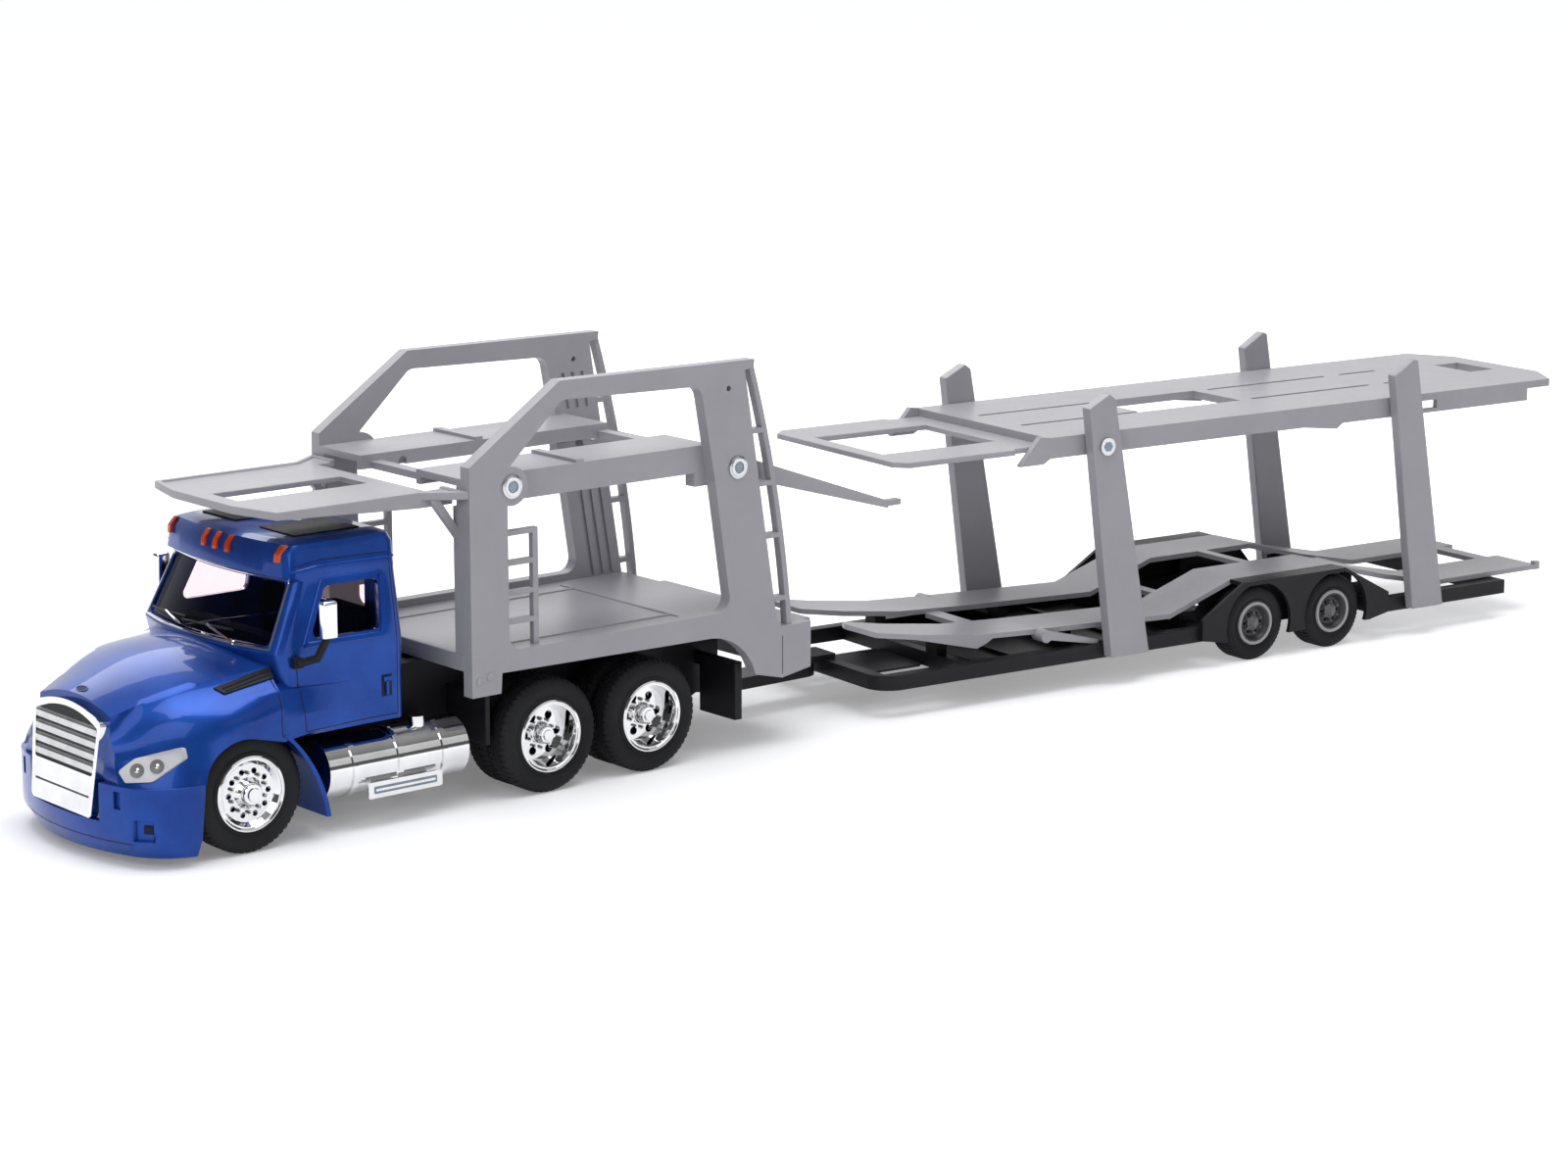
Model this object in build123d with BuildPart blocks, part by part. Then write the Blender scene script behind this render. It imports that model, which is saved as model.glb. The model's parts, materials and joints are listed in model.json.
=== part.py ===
"""Toy car transporter: a tractor with car decks and a low trailer hinged on its stinger.

Millimetres. The origin is on the ground under the trailer's pivot, +X runs to the nose,
+Y to the driver's left and +Z up. Trailer pieces are drawn square to the pivot and then
turned by trailer_yaw, the angle at which the model is parked.
"""
import os
from build123d import *

os.makedirs("parts", exist_ok=True)

# Overall
half_width = 28.5
running_gap = 0.3
seat_gap = 0.05
trailer_yaw = -6.15

# Truck wheels
tyre_radius = 12.1
rim_radius = 7.4
axle_radius = 1.0
axle_bore_gap = 0.1
front_axle_x = 161.3
front_tyre_face = 26.2
front_tyre_width = 7.0
drive_axle_x = {"drive_axle_1": 89.6, "drive_axle_2": 63.2}
drive_tyre_face = 27.2
drive_tyre_width = 6.4
dual_gap = 0.8

# Truck chassis
rail_inner = 8.0
rail_outer = 11.0
chassis_bottom = 9.4
rail_low_top = 17.0
chassis_front = 181.0
chassis_rear = 32.0
stinger_half_width = 4.0
stinger_bottom = 6.6
stinger_top = 9.3
pin_radius = 1.6
pin_head_radius = 2.6
pin_head_height = 1.0

# Cab
cab_rear = 123.7
cab_front = 150.0
cab_bottom = 21.5
cab_wall = 1.5
belt_z = 38.2
visor_lip_z = 52.4
roof_z = 59.3
pillar_radius = 2.6
window_corner = 1.4
glass_thickness = 0.7
glass_inset = 0.3
hood_nose = 185.6
hood_rear = 154.0
nose_wall_ratio = 1.7
fender_half_width = 28.2
tyre_well_face = 26.6
guard_outer = 27.6
swell_root = 23.0
bumper_seam_z = 16.2
bumper_bottom = 2.0
bumper_wall = 1.6

# Grille, drawn on a plane that leans back from its foot
grille_foot = (186.6, 8.6)
grille_lean = 6.5
grille_half_top = 13.0
grille_half_bottom = 11.5
grille_side = 18.8
grille_height = 21.2
grille_depth = 1.7

# Fuel tanks
tank_radius = 6.4
tank_y = 20.4
tank_z = 12.6
tank_front = 143.0
tank_rear = 109.5

# Truck body
frame_thickness = 3.0
deck_floor_top = 30.4
deck_floor_thickness = 2.0
bed_front = 110.0
bed_rear = 20.2
sill_bottom = 27.6
sill_top = 32.0
frame_top = 86.0
upper_deck_top = 68.0
upper_deck_rail_bottom = 62.2
upper_deck_plate = 1.5
track_inner = 10.0
upper_deck_rear = 45.6
header_front = 154.4
header_top = 65.4
header_bottom = 64.2
header_inset = 2.7
front_screw = (99.5, 65.7)
rear_screw = (40.6, 62.9)
screw_radius = 2.0
flap_gap = 1.0
flap_arm = 2.5

# Trailer
trailer_tyre_radius = 9.0
trailer_rim_radius = 4.9
trailer_tyre_face = 26.0
trailer_tyre_width = 6.6
trailer_axle_x = {"trailer_axle_1": -114.4, "trailer_axle_2": -138.9}
trailer_frame_bottom = 6.6
trailer_frame_top = 10.0
trailer_rail = 3.0
loop_front = -5.0
trailer_frame_rear = -196.5
post_thickness = 2.8
post_bottom = 7.0
trailer_track_inner = 8.0
trailer_track_outer = 22.0
deck_half_width = 25.7
deck_rail = 1.5
deck_top = 59.6
deck_plate = 1.8
deck_rail_bottom = 54.8
deck_front = -51.4
deck_rail_rear = -201.9
deck_rear = -209.4
deck_tail = -215.9
extension_front = -9.9
extension_top = 57.8
extension_thickness = 1.3
deck_pivot = (-65.8, 56.8)
deck_pivot_radius = 1.5
trailer_half_width = deck_half_width + running_gap

grille_plane = Plane(
    origin=(grille_foot[0], 0, grille_foot[1]),
    x_dir=(0, 1, 0),
    z_dir=Vector(1, 0, 0).rotate(Axis.Y, -grille_lean),
)
trailer_at = Location((0, 0, 0), (0, 0, trailer_yaw))
frame_inner = half_width - frame_thickness
header_half_width = frame_inner - header_inset
deck_floor_bottom = deck_floor_top - deck_floor_thickness


def write(piece, name):
    """Label a truck piece and write it."""
    piece.part.label = name
    export_step(piece.part, f"parts/{name}.step")


def write_trailer(piece, name):
    """Label a trailer piece, turn it to the parked angle and write it."""
    placed = trailer_at * piece.part
    placed.label = name
    export_step(placed, f"parts/{name}.step")


def side_plate(outline, y_low, y_high, mode=Mode.ADD):
    """Plate with an (x, z) outline between two Y planes."""
    with BuildSketch(Plane.XZ.offset(-y_high)) as side_view:
        with BuildLine():
            Polyline(*outline, close=True)
        make_face()
    extrude(side_view.sketch, amount=y_high - y_low, mode=mode)


def floor_plate(outline, z_low, z_high, mode=Mode.ADD):
    """Plate with an (x, y) outline between two heights."""
    with BuildSketch(Plane.XY.offset(z_low)) as plan_view:
        with BuildLine():
            Polyline(*outline, close=True)
        make_face()
    extrude(plan_view.sketch, amount=z_high - z_low, mode=mode)


def block(x, y, z, mode=Mode.ADD):
    """Box from three (low, high) pairs."""
    centre = tuple((low + high) / 2 for low, high in (x, y, z))
    size = tuple(high - low for low, high in (x, y, z))
    with Locations(centre):
        Box(*size, mode=mode)


def cross_cylinder(x, z, radius, y_low, y_high, mode=Mode.ADD):
    """Cylinder along Y."""
    with BuildSketch(Plane.XZ.offset(-y_high)) as disc:
        with Locations((x, z)):
            Circle(radius)
    extrude(disc.sketch, amount=y_high - y_low, mode=mode)


# Wheels and axles
def build_tyres(axle_x, radius, bore, width, faces, shoulder):
    """All tyres of one axle: one ring with sloped shoulders for each outer face, on both sides."""
    with BuildPart() as tyres:
        for face in faces:
            with BuildSketch(Plane.XY.offset(radius)):
                with BuildLine():
                    Polyline(
                        (axle_x + bore, face - width),
                        (axle_x + radius - shoulder, face - width),
                        (axle_x + radius, face - width + shoulder),
                        (axle_x + radius, face - shoulder),
                        (axle_x + radius - shoulder, face),
                        (axle_x + bore, face),
                        close=True,
                    )
                make_face()
            revolve(axis=Axis((axle_x, 0, radius), (0, 1, 0)))
        mirror(about=Plane.XZ)
    return tyres


def build_rims(axle_x, axle_z, radius, face, width, dish, hub_radius, hub_out, holes, hole_radius):
    """Dished rims on both ends of an axle, with a hub and a ring of holes."""
    lip = 0.8
    plate = 1.2
    disc_face = face - dish
    with BuildPart() as rims:
        with BuildSketch(Plane.XY.offset(axle_z)):
            with BuildLine():
                Polyline(
                    (axle_x, disc_face - plate),
                    (axle_x + radius - lip, disc_face - plate),
                    (axle_x + radius - lip, face - width),
                    (axle_x + radius, face - width),
                    (axle_x + radius, face),
                    (axle_x + radius - lip, face),
                    (axle_x + radius - 2 * lip, disc_face),
                    (axle_x + hub_radius, disc_face),
                    (axle_x + hub_radius * 0.7, disc_face + hub_out),
                    (axle_x, disc_face + hub_out),
                    close=True,
                )
            make_face()
        revolve(axis=Axis((axle_x, 0, axle_z), (0, 1, 0)))
        ring = (hub_radius + radius - 2 * lip) / 2
        with BuildSketch(Plane.XZ.offset(-face)):
            with Locations((axle_x, axle_z)):
                with PolarLocations(ring, holes):
                    Circle(hole_radius)
        extrude(amount=dish + plate + 1, mode=Mode.SUBTRACT)
        mirror(about=Plane.XZ)
    return rims


def build_axle(axle_x, axle_z, half_length):
    """Plain steel rod across the model."""
    with BuildPart() as rod:
        cross_cylinder(axle_x, axle_z, axle_radius, -half_length, half_length)
    return rod


front_dish = 0.9
front_rod = build_axle(front_axle_x, tyre_radius, front_tyre_face - front_dish - 1.2)
write(front_rod, "front_axle_rod")
front_tyres = build_tyres(
    front_axle_x, tyre_radius, rim_radius + seat_gap, front_tyre_width, [front_tyre_face], 1.2
)
write(front_tyres, "front_tyres")
front_rims = build_rims(
    front_axle_x,
    tyre_radius,
    rim_radius,
    front_tyre_face,
    width=5.5,
    dish=front_dish,
    hub_radius=3.2,
    hub_out=1.2,
    holes=10,
    hole_radius=0.6,
)
write(front_rims, "front_rims")

drive_dish = 3.6
drive_faces = [drive_tyre_face, drive_tyre_face - drive_tyre_width - dual_gap]
for name, axle_x in drive_axle_x.items():
    drive_rod = build_axle(axle_x, tyre_radius, drive_tyre_face - drive_dish - 1.2)
    write(drive_rod, f"{name}_rod")
    drive_tyres = build_tyres(
        axle_x, tyre_radius, rim_radius + seat_gap, drive_tyre_width, drive_faces, 1.2
    )
    write(drive_tyres, f"{name}_tyres")
    drive_rims = build_rims(
        axle_x,
        tyre_radius,
        rim_radius,
        drive_tyre_face,
        width=13.0,
        dish=drive_dish,
        hub_radius=2.4,
        hub_out=1.6,
        holes=6,
        hole_radius=0.9,
    )
    write(drive_rims, f"{name}_rims")

trailer_dish = 1.2
for name, axle_x in trailer_axle_x.items():
    trailer_rod = build_axle(axle_x, trailer_tyre_radius, trailer_tyre_face - trailer_dish - 1.2)
    write_trailer(trailer_rod, f"{name}_rod")
    trailer_tyres = build_tyres(
        axle_x,
        trailer_tyre_radius,
        trailer_rim_radius + seat_gap,
        trailer_tyre_width,
        [trailer_tyre_face],
        1.0,
    )
    write_trailer(trailer_tyres, f"{name}_tyres")
    trailer_rims = build_rims(
        axle_x,
        trailer_tyre_radius,
        trailer_rim_radius,
        trailer_tyre_face,
        width=5.0,
        dish=trailer_dish,
        hub_radius=1.6,
        hub_out=0.7,
        holes=6,
        hole_radius=0.4,
    )
    write_trailer(trailer_rims, f"{name}_rims")


# Truck chassis: two deep rails, cross members, tank cradles and the stinger
axle_bore = axle_radius + axle_bore_gap
rail_outline = [
    (chassis_front, chassis_bottom),
    (chassis_front, rail_low_top),
    (cab_rear, rail_low_top),
    (cab_rear, deck_floor_bottom),
    (chassis_rear, deck_floor_bottom),
    (chassis_rear, chassis_bottom + 4),
    (chassis_rear + 8, chassis_bottom),
]
cross_members = [
    # x low, x high, z low, z high
    (chassis_front - 4, chassis_front, chassis_bottom, rail_low_top),
    (143.0, 147.0, chassis_bottom, rail_low_top),
    (112.0, cab_rear, chassis_bottom, deck_floor_bottom),
    (74.0, 79.0, 15.0, deck_floor_bottom),
    (chassis_rear, chassis_rear + 16, chassis_bottom + 4, deck_floor_bottom),
]
cradle_length = 4.0
with BuildPart() as truck_chassis:
    side_plate(rail_outline, rail_inner, rail_outer)
    for cradle_x in (tank_rear + 6, tank_front - 6):
        block(
            (cradle_x - cradle_length / 2, cradle_x + cradle_length / 2),
            (rail_outer - 0.5, tank_y - tank_radius + 1.2),
            (tank_z - 4, tank_z + 4),
        )
    with BuildSketch(Plane.YZ.offset(tank_rear)):
        with Locations((tank_y, tank_z)):
            Circle(tank_radius + seat_gap)
    extrude(amount=tank_front - tank_rear, mode=Mode.SUBTRACT)
    mirror(about=Plane.XZ)
    for x_low, x_high, z_low, z_high in cross_members:
        block((x_low, x_high), (-rail_inner, rail_inner), (z_low, z_high))
    side_plate(
        [
            (chassis_rear + 16, chassis_bottom + 4),
            (chassis_rear + 16, chassis_bottom + 1),
            (chassis_rear - 10, stinger_bottom),
            (0, stinger_bottom),
            (0, stinger_top),
            (chassis_rear - 12, stinger_top),
            (chassis_rear, chassis_bottom + 4),
        ],
        -stinger_half_width,
        stinger_half_width,
    )
    with BuildSketch(Plane.XY.offset(stinger_bottom)):
        Circle(stinger_half_width)
    extrude(amount=stinger_top - stinger_bottom)
    for axle_x in (front_axle_x, *drive_axle_x.values()):
        cross_cylinder(axle_x, tyre_radius, axle_bore, -rail_outer, rail_outer, Mode.SUBTRACT)
write(truck_chassis, "truck_chassis")

tongue_bottom = stinger_top + running_gap
tongue_top = tongue_bottom + 1.6
with BuildPart() as hitch_pin:
    with BuildSketch(Plane.XY.offset(stinger_top)):
        Circle(pin_radius)
    extrude(amount=tongue_top + running_gap - stinger_top)
    with BuildSketch(Plane.XY.offset(tongue_top + running_gap)):
        Circle(pin_head_radius)
    extrude(amount=pin_head_height)
write(hitch_pin, "hitch_pin")

# Fuel tanks
band_height = 0.35
band_width = 1.2
step_inset = 10.0
tank_step_root = 4.0
tank_step_z = (tank_z - 5.2, tank_z - 3.2)
filler_radius = 1.7
filler_height = 1.2
with BuildPart() as fuel_tanks:
    with BuildSketch(Plane.YZ.offset(tank_rear)):
        with Locations((tank_y, tank_z)):
            Circle(tank_radius - band_height)
    extrude(amount=tank_front - tank_rear)
    for band_x in (tank_rear + 6, (tank_rear + tank_front) / 2, tank_front - 6):
        with BuildSketch(Plane.YZ.offset(band_x - band_width / 2)):
            with Locations((tank_y, tank_z)):
                Circle(tank_radius)
        extrude(amount=band_width)
    with BuildSketch(Plane.XY.offset(tank_z)):
        with Locations((tank_rear + 9.5, tank_y + 1)):
            Circle(filler_radius)
    extrude(amount=tank_radius + filler_height)
    block(
        (tank_rear + step_inset, tank_front - step_inset),
        (tank_y + tank_step_root, tank_y + tank_radius),
        tank_step_z,
    )
    mirror(about=Plane.XZ)
write(fuel_tanks, "fuel_tanks")


# Cab: hood and fenders are a loft of cross sections, the box above is a loft of plan sections
hood_sections = [
    # x, centre height, then (y, z) of hood crease, fender crest, fender flank and lower edge
    (hood_nose, 30.2, (13.0, 28.2), (14.2, 23.8), (15.8, 20.0), (18.0, bumper_seam_z)),
    (180.5, 32.4, (14.8, 30.1), (17.8, 26.4), (20.8, 21.6), (25.0, bumper_seam_z)),
    (174.0, 34.8, (17.4, 32.5), (22.4, 29.2), (25.5, 23.8), (27.9, bumper_seam_z)),
    (167.0, 36.9, (19.9, 34.3), (24.4, 30.4), (27.6, 26.6), (fender_half_width, bumper_seam_z)),
    (160.0, 38.0, (21.2, 35.0), (25.3, 31.1), (27.6, 26.4), (fender_half_width, bumper_seam_z)),
    (hood_rear, 38.6, (22.2, 35.8), (26.0, 31.5), (27.3, 26.0), (27.6, bumper_seam_z)),
]
crest_bulge = 0.5
valley_dip = 0.35
inset_drop = 0.7


def hood_section(row, inset):
    """One cross section of hood and fenders, drawn in from the skin by inset."""
    x, top, *side = row
    *shoulder, (edge_y, edge_z) = side
    crease, crest, flank = [(y - inset, z - inset * inset_drop) for y, z in shoulder]
    edge = (edge_y - inset, edge_z)
    if row is hood_sections[0]:
        x -= inset * nose_wall_ratio
    other = [(-y, z) for y, z in (edge, flank, crest, crease)]
    with BuildSketch(Plane.YZ.offset(x)) as section:
        with BuildLine():
            Line(other[0], other[1])
            SagittaArc(other[1], other[2], crest_bulge)
            SagittaArc(other[2], other[3], -valley_dip)
            ThreePointArc(other[3], (0, top - inset), crease)
            SagittaArc(crease, crest, -valley_dip)
            SagittaArc(crest, flank, crest_bulge)
            Polyline(flank, edge, other[0])
        make_face()
    return section.sketch


def hood_loft(inset, mode=Mode.ADD):
    """Hood and fenders, drawn in from the skin by inset."""
    loft([hood_section(row, inset) for row in hood_sections], mode=mode)


cab_levels = [
    # z, rear x, half width, front x at the sides, front x in the middle
    (cab_bottom, cab_rear, 25.2, 150.0, 150.6),
    (belt_z, cab_rear, 25.4, 153.6, 157.6),
    (visor_lip_z - 0.8, cab_rear, 23.2, 147.4, 150.6),
    (visor_lip_z, cab_rear, 23.2, 149.4, 151.8),
    (roof_z - 2.3, cab_rear, 22.5, 148.9, 151.2),
    (roof_z - 0.7, cab_rear + 0.6, 21.6, 147.6, 150.0),
    (roof_z, cab_rear + 2.2, 19.6, 145.0, 147.6),
]


def plan_section(level, inset):
    """One plan outline of the cab box, with a bowed front and round corners."""
    z, rear, half, front_side, front_mid = level
    corner = (front_side - inset, half - inset)
    with BuildSketch(Plane.XY.offset(z)) as section:
        with BuildLine():
            Polyline(corner, (rear + inset, corner[1]), (rear + inset, -corner[1]), (corner[0], -corner[1]))
            ThreePointArc((corner[0], -corner[1]), (front_mid - inset, 0), corner)
        make_face()
        fillet(section.vertices(), pillar_radius - inset / 2)
    return section.sketch


def cab_box(inset, mode=Mode.ADD):
    """Cab box between its levels; the roof drops by the inset too."""
    for lower, upper in zip(cab_levels, cab_levels[1:]):
        top = list(upper)
        if upper is cab_levels[-1]:
            top[0] = upper[0] - inset
        loft([plan_section(lower, inset), plan_section(top, inset)], ruled=True, mode=mode)


# The fender's crest runs out along the door
door_swell = [
    # x, then (y, z) of crest, flank and sill
    (hood_rear, (26.0, 31.5), (27.3, 26.0), (27.4, cab_bottom)),
    (131.0, (25.1, 30.4), (25.1, 26.0), (25.1, cab_bottom)),
]


def door_swell_loft():
    """Low swelling of both doors below the crease, fading to the rear."""
    sections = []
    for x, *rim in door_swell:
        with BuildSketch(Plane.YZ.offset(x)) as section:
            with BuildLine():
                Polyline((swell_root, rim[0][1] + 1), *rim, (swell_root, cab_bottom), close=True)
            make_face()
        sections.append(section.sketch)
    loft(sections, ruled=True)
    mirror(about=Plane.XZ)


side_window = [(146.0, 40.2), (129.6, 40.2), (128.8, 50.2), (141.4, 50.2)]
windscreen = [(-22.3, 39.2), (22.3, 39.2), (20.6, 51.3), (-20.6, 51.3)]
rear_window = [(-13.0, 41.0), (13.0, 41.0), (13.0, 51.0), (-13.0, 51.0)]
window_views = [
    # outline, plane it is drawn on, depth of the cut
    (side_window, Plane.XZ.offset(-half_width), 2 * half_width),
    (windscreen, Plane.YZ.offset(cab_front - 8), 20.0),
    (rear_window, Plane.YZ.offset(cab_rear - 5), 10.0),
]


def window_prisms(shrink):
    """Prisms through all window openings, drawn in by shrink."""
    for outline, plane, depth in window_views:
        with BuildSketch(plane) as view:
            with BuildLine():
                Polyline(*outline, close=True)
            make_face()
            fillet(view.vertices(), window_corner)
            if shrink:
                offset(amount=-shrink, mode=Mode.REPLACE)
        extrude(view.sketch, amount=depth)


with BuildPart() as window_cutter:
    window_prisms(0)
with BuildPart() as pane_cutter:
    window_prisms(seat_gap)

# Wheel arch: an opening in the flank, higher than it is long, and a well for the tyre behind it
arch_front = (172.3, bumper_seam_z - 1)
arch_shoulder = (169.6, 21.0)
arch_top = (161.0, 23.3)
arch_rear = (154.0, cab_bottom)
arch_depth = 8.0
well_radius = tyre_radius + 1.2
well_inner = 14.0
guard = [(154.2, 22.8), (148.0, 14.8), (144.8, 4.8)]
guard_thickness = 1.0
with BuildPart() as arch_cutter:
    with BuildSketch(Plane.XZ.offset(-half_width)) as arch_view:
        with BuildLine():
            ThreePointArc(arch_front, arch_shoulder, arch_top)
            Polyline(
                arch_top,
                arch_rear,
                (cab_rear, cab_bottom),
                (cab_rear, arch_depth),
                (arch_front[0], arch_depth),
                arch_front,
            )
        make_face()
    extrude(arch_view.sketch, amount=2 * half_width)
with BuildPart() as arch_guards:
    with BuildSketch(Plane.XZ.offset(-guard_outer)) as guard_view:
        with BuildLine():
            ThreePointArc(*guard)
            Line(guard[2], (guard[2][0] - guard_thickness, guard[2][1]))
            ThreePointArc(*[(x - guard_thickness, z) for x, z in reversed(guard)])
            Line((guard[0][0] - guard_thickness, guard[0][1]), guard[0])
        make_face()
    extrude(amount=guard_outer - well_inner)
    mirror(about=Plane.XZ)
with BuildPart() as cab_shell:
    hood_loft(0)
    cab_box(0)
    door_swell_loft()
    hood_loft(cab_wall, Mode.SUBTRACT)
    cab_box(cab_wall, Mode.SUBTRACT)
    for y_low, y_high in ((well_inner, tyre_well_face), (-tyre_well_face, -well_inner)):
        cross_cylinder(front_axle_x, tyre_radius, well_radius, y_low, y_high, Mode.SUBTRACT)
    add(arch_cutter.part, mode=Mode.SUBTRACT)
    add(window_cutter.part, mode=Mode.SUBTRACT)
    with BuildSketch(grille_plane) as nose_view:
        Rectangle(2 * half_width, 2 * half_width)
    extrude(nose_view.sketch, amount=grille_depth + 4, mode=Mode.SUBTRACT)
    add(arch_guards.part)
write(cab_shell, "cab_shell")

with BuildPart() as cab_glazing:
    cab_box(glass_inset)
    cab_box(glass_inset + glass_thickness, Mode.SUBTRACT)
    add(pane_cutter.part, mode=Mode.INTERSECT)
write(cab_glazing, "cab_glazing")


# Thin pieces that sit on the cab's skin
def skin_patch(shell, proud, cutter):
    """Shell standing proud of the cab's skin, kept only where the cutter is."""
    shell(-proud)
    shell(0, Mode.SUBTRACT)
    add(cutter, mode=Mode.INTERSECT)


lamp_outline = [(17.8, 19.0), (19.4, 21.4), (25.0, 23.6), (25.8, 21.4), (23.6, 17.4), (19.6, 17.0)]
lamp_rear = 172.0
lamp_proud = 0.4
with BuildPart() as lamp_cutter:
    with BuildSketch(Plane.YZ.offset(lamp_rear)) as lamp_view:
        with BuildLine():
            Polyline(*lamp_outline, close=True)
        make_face()
        fillet(lamp_view.vertices(), 0.6)
    extrude(amount=hood_nose - lamp_rear)
    mirror(about=Plane.XZ)
with BuildPart() as headlights:
    skin_patch(hood_loft, lamp_proud, lamp_cutter.part)
write(headlights, "headlights")

vent_outline = [(166.0, 33.1), (hood_rear, 35.6), (hood_rear, 33.8), (164.6, 32.1)]
vent_proud = 0.3
vent_inner = 12.0
with BuildPart() as vent_cutter:
    side_plate(vent_outline, vent_inner, half_width)
    mirror(about=Plane.XZ)
with BuildPart() as hood_vents:
    skin_patch(hood_loft, vent_proud, vent_cutter.part)
write(hood_vents, "hood_vents")

marker_width = 1.4
marker_height = 3.2
marker_proud = 0.6
marker_z = visor_lip_z + 3.0
marker_y = (-20.0, -4.4, 0.0, 4.4, 20.0)
with BuildPart() as marker_cutter:
    for y in marker_y:
        block(
            (cab_front - 8, cab_front + 8),
            (y - marker_width / 2, y + marker_width / 2),
            (marker_z, marker_z + marker_height),
        )
with BuildPart() as roof_markers:
    skin_patch(cab_box, marker_proud, marker_cutter.part)
write(roof_markers, "roof_markers")

roof_panel_x = (cab_rear + 5, 144.0)
roof_panel_y = (4.4, 17.0)
roof_panel_proud = 0.3
with BuildPart() as panel_cutter:
    block(roof_panel_x, roof_panel_y, (roof_z - 0.2, roof_z + 2))
    mirror(about=Plane.XZ)
with BuildPart() as roof_panels:
    skin_patch(cab_box, roof_panel_proud, panel_cutter.part)
write(roof_panels, "roof_panels")

# Bumper: a bent wall, tucked in at its foot, with a notch for the grille
bumper_levels = [
    # z, nose x, then (x, y) of the front corner, its round and the rear end
    (bumper_bottom, 187.4, (183.4, 19.6), (179.6, 24.4), (174.0, 27.0)),
    (bumper_bottom + 3.6, 188.8, (185.2, 20.6), (181.4, 25.6), (173.4, 28.0)),
    (bumper_seam_z, 188.6, (185.2, 20.6), (181.2, 25.6), (172.4, fender_half_width)),
]


def bumper_plan(level, inset):
    """Plan outline of the bumper at one height, drawn in by inset."""
    z, nose, *bend = level
    corner, round_mid, end = [(x - inset * inset_drop, y - inset) for x, y in bend]
    other_corner, other_mid, other_end = [(x, -y) for x, y in (corner, round_mid, end)]
    with BuildSketch(Plane.XY.offset(z)) as plan:
        with BuildLine():
            ThreePointArc(end, round_mid, corner)
            ThreePointArc(corner, (nose - inset, 0), other_corner)
            ThreePointArc(other_corner, other_mid, other_end)
            Line(other_end, end)
        make_face()
    return plan.sketch


def bumper_loft(inset, mode=Mode.ADD):
    """Bumper between its levels."""
    for lower, upper in zip(bumper_levels, bumper_levels[1:]):
        loft([bumper_plan(lower, inset), bumper_plan(upper, inset)], ruled=True, mode=mode)


bumper_slots = [
    # y low, y high, z low, z high
    (17.0, 18.6, 11.6, 15.0),
    (21.4, 24.8, 5.8, 10.0),
]
slot_depth = 0.9
with BuildPart() as slot_cutter:
    for y_low, y_high, z_low, z_high in bumper_slots:
        block((front_axle_x, hood_nose + 5), (y_low, y_high), (z_low, z_high))
    mirror(about=Plane.XZ)
with BuildPart() as bumper_pockets:
    bumper_loft(-lamp_proud)
    bumper_loft(slot_depth, Mode.SUBTRACT)
    add(slot_cutter.part, mode=Mode.INTERSECT)
bumper_rear = bumper_levels[-1][-1][0]
with BuildPart() as bumper:
    bumper_loft(0)
    bumper_loft(bumper_wall, Mode.SUBTRACT)
    add(bumper_pockets.part, mode=Mode.SUBTRACT)
    block(
        (bumper_rear, bumper_rear + half_width),
        (-grille_half_top - seat_gap, grille_half_top + seat_gap),
        (grille_foot[1] - seat_gap, bumper_seam_z),
        Mode.SUBTRACT,
    )
    block(
        (bumper_rear - bumper_wall, bumper_rear + bumper_wall),
        (bumper_wall - fender_half_width + 1, fender_half_width - bumper_wall - 1),
        (bumper_bottom, bumper_seam_z),
        Mode.SUBTRACT,
    )
write(bumper, "bumper")

# Grille: a leaning frame with an arched top, four bars and a plate at its foot
grille_plate = 0.6
grille_rim = 1.2
grille_foot_height = 8.1
grille_groove = (4.0, 0.5)
grille_bars = 4
grille_bar_pitch = 2.7
grille_bar_height = 2.15
grille_bar_set = 0.3


def grille_outline(plane, inset, bottom, corner):
    """Grille outline on a plane, drawn in by inset, from a bottom height up to its arched top."""
    half_top = grille_half_top - inset
    half_bottom = grille_half_bottom + (grille_half_top - grille_half_bottom) * bottom / grille_side - inset
    shoulder = grille_side - inset
    with BuildSketch(plane) as view:
        with BuildLine():
            Polyline(
                (-half_top, shoulder),
                (-half_bottom, bottom),
                (half_bottom, bottom),
                (half_top, shoulder),
            )
            ThreePointArc((half_top, shoulder), (0, grille_height - inset), (-half_top, shoulder))
        make_face()
        fillet(view.vertices(), corner)
    return view.sketch


pocket_plane = grille_plane.offset(grille_plate)
with BuildPart() as grille:
    extrude(grille_outline(grille_plane, 0, 0, grille_rim), amount=grille_depth)
    extrude(
        grille_outline(pocket_plane, grille_rim, grille_foot_height, grille_rim / 2),
        amount=grille_depth,
        mode=Mode.SUBTRACT,
    )
    with BuildSketch(pocket_plane) as bar_view:
        for bar in range(grille_bars):
            height = grille_foot_height + grille_bar_pitch * (bar + 1) - grille_bar_height / 2
            half = grille_half_bottom + (grille_half_top - grille_half_bottom) * height / grille_side
            with Locations((0, height)):
                Rectangle(2 * (half - grille_rim / 2), grille_bar_height)
    extrude(bar_view.sketch, amount=grille_depth - grille_plate - grille_bar_set)
    with BuildSketch(grille_plane.offset(grille_depth)) as groove_view:
        with Locations((0, grille_groove[0])):
            Rectangle(2 * (grille_half_bottom - grille_rim), grille_groove[1])
    extrude(groove_view.sketch, amount=-grille_groove[1], mode=Mode.SUBTRACT)
write(grille, "grille")

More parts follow.
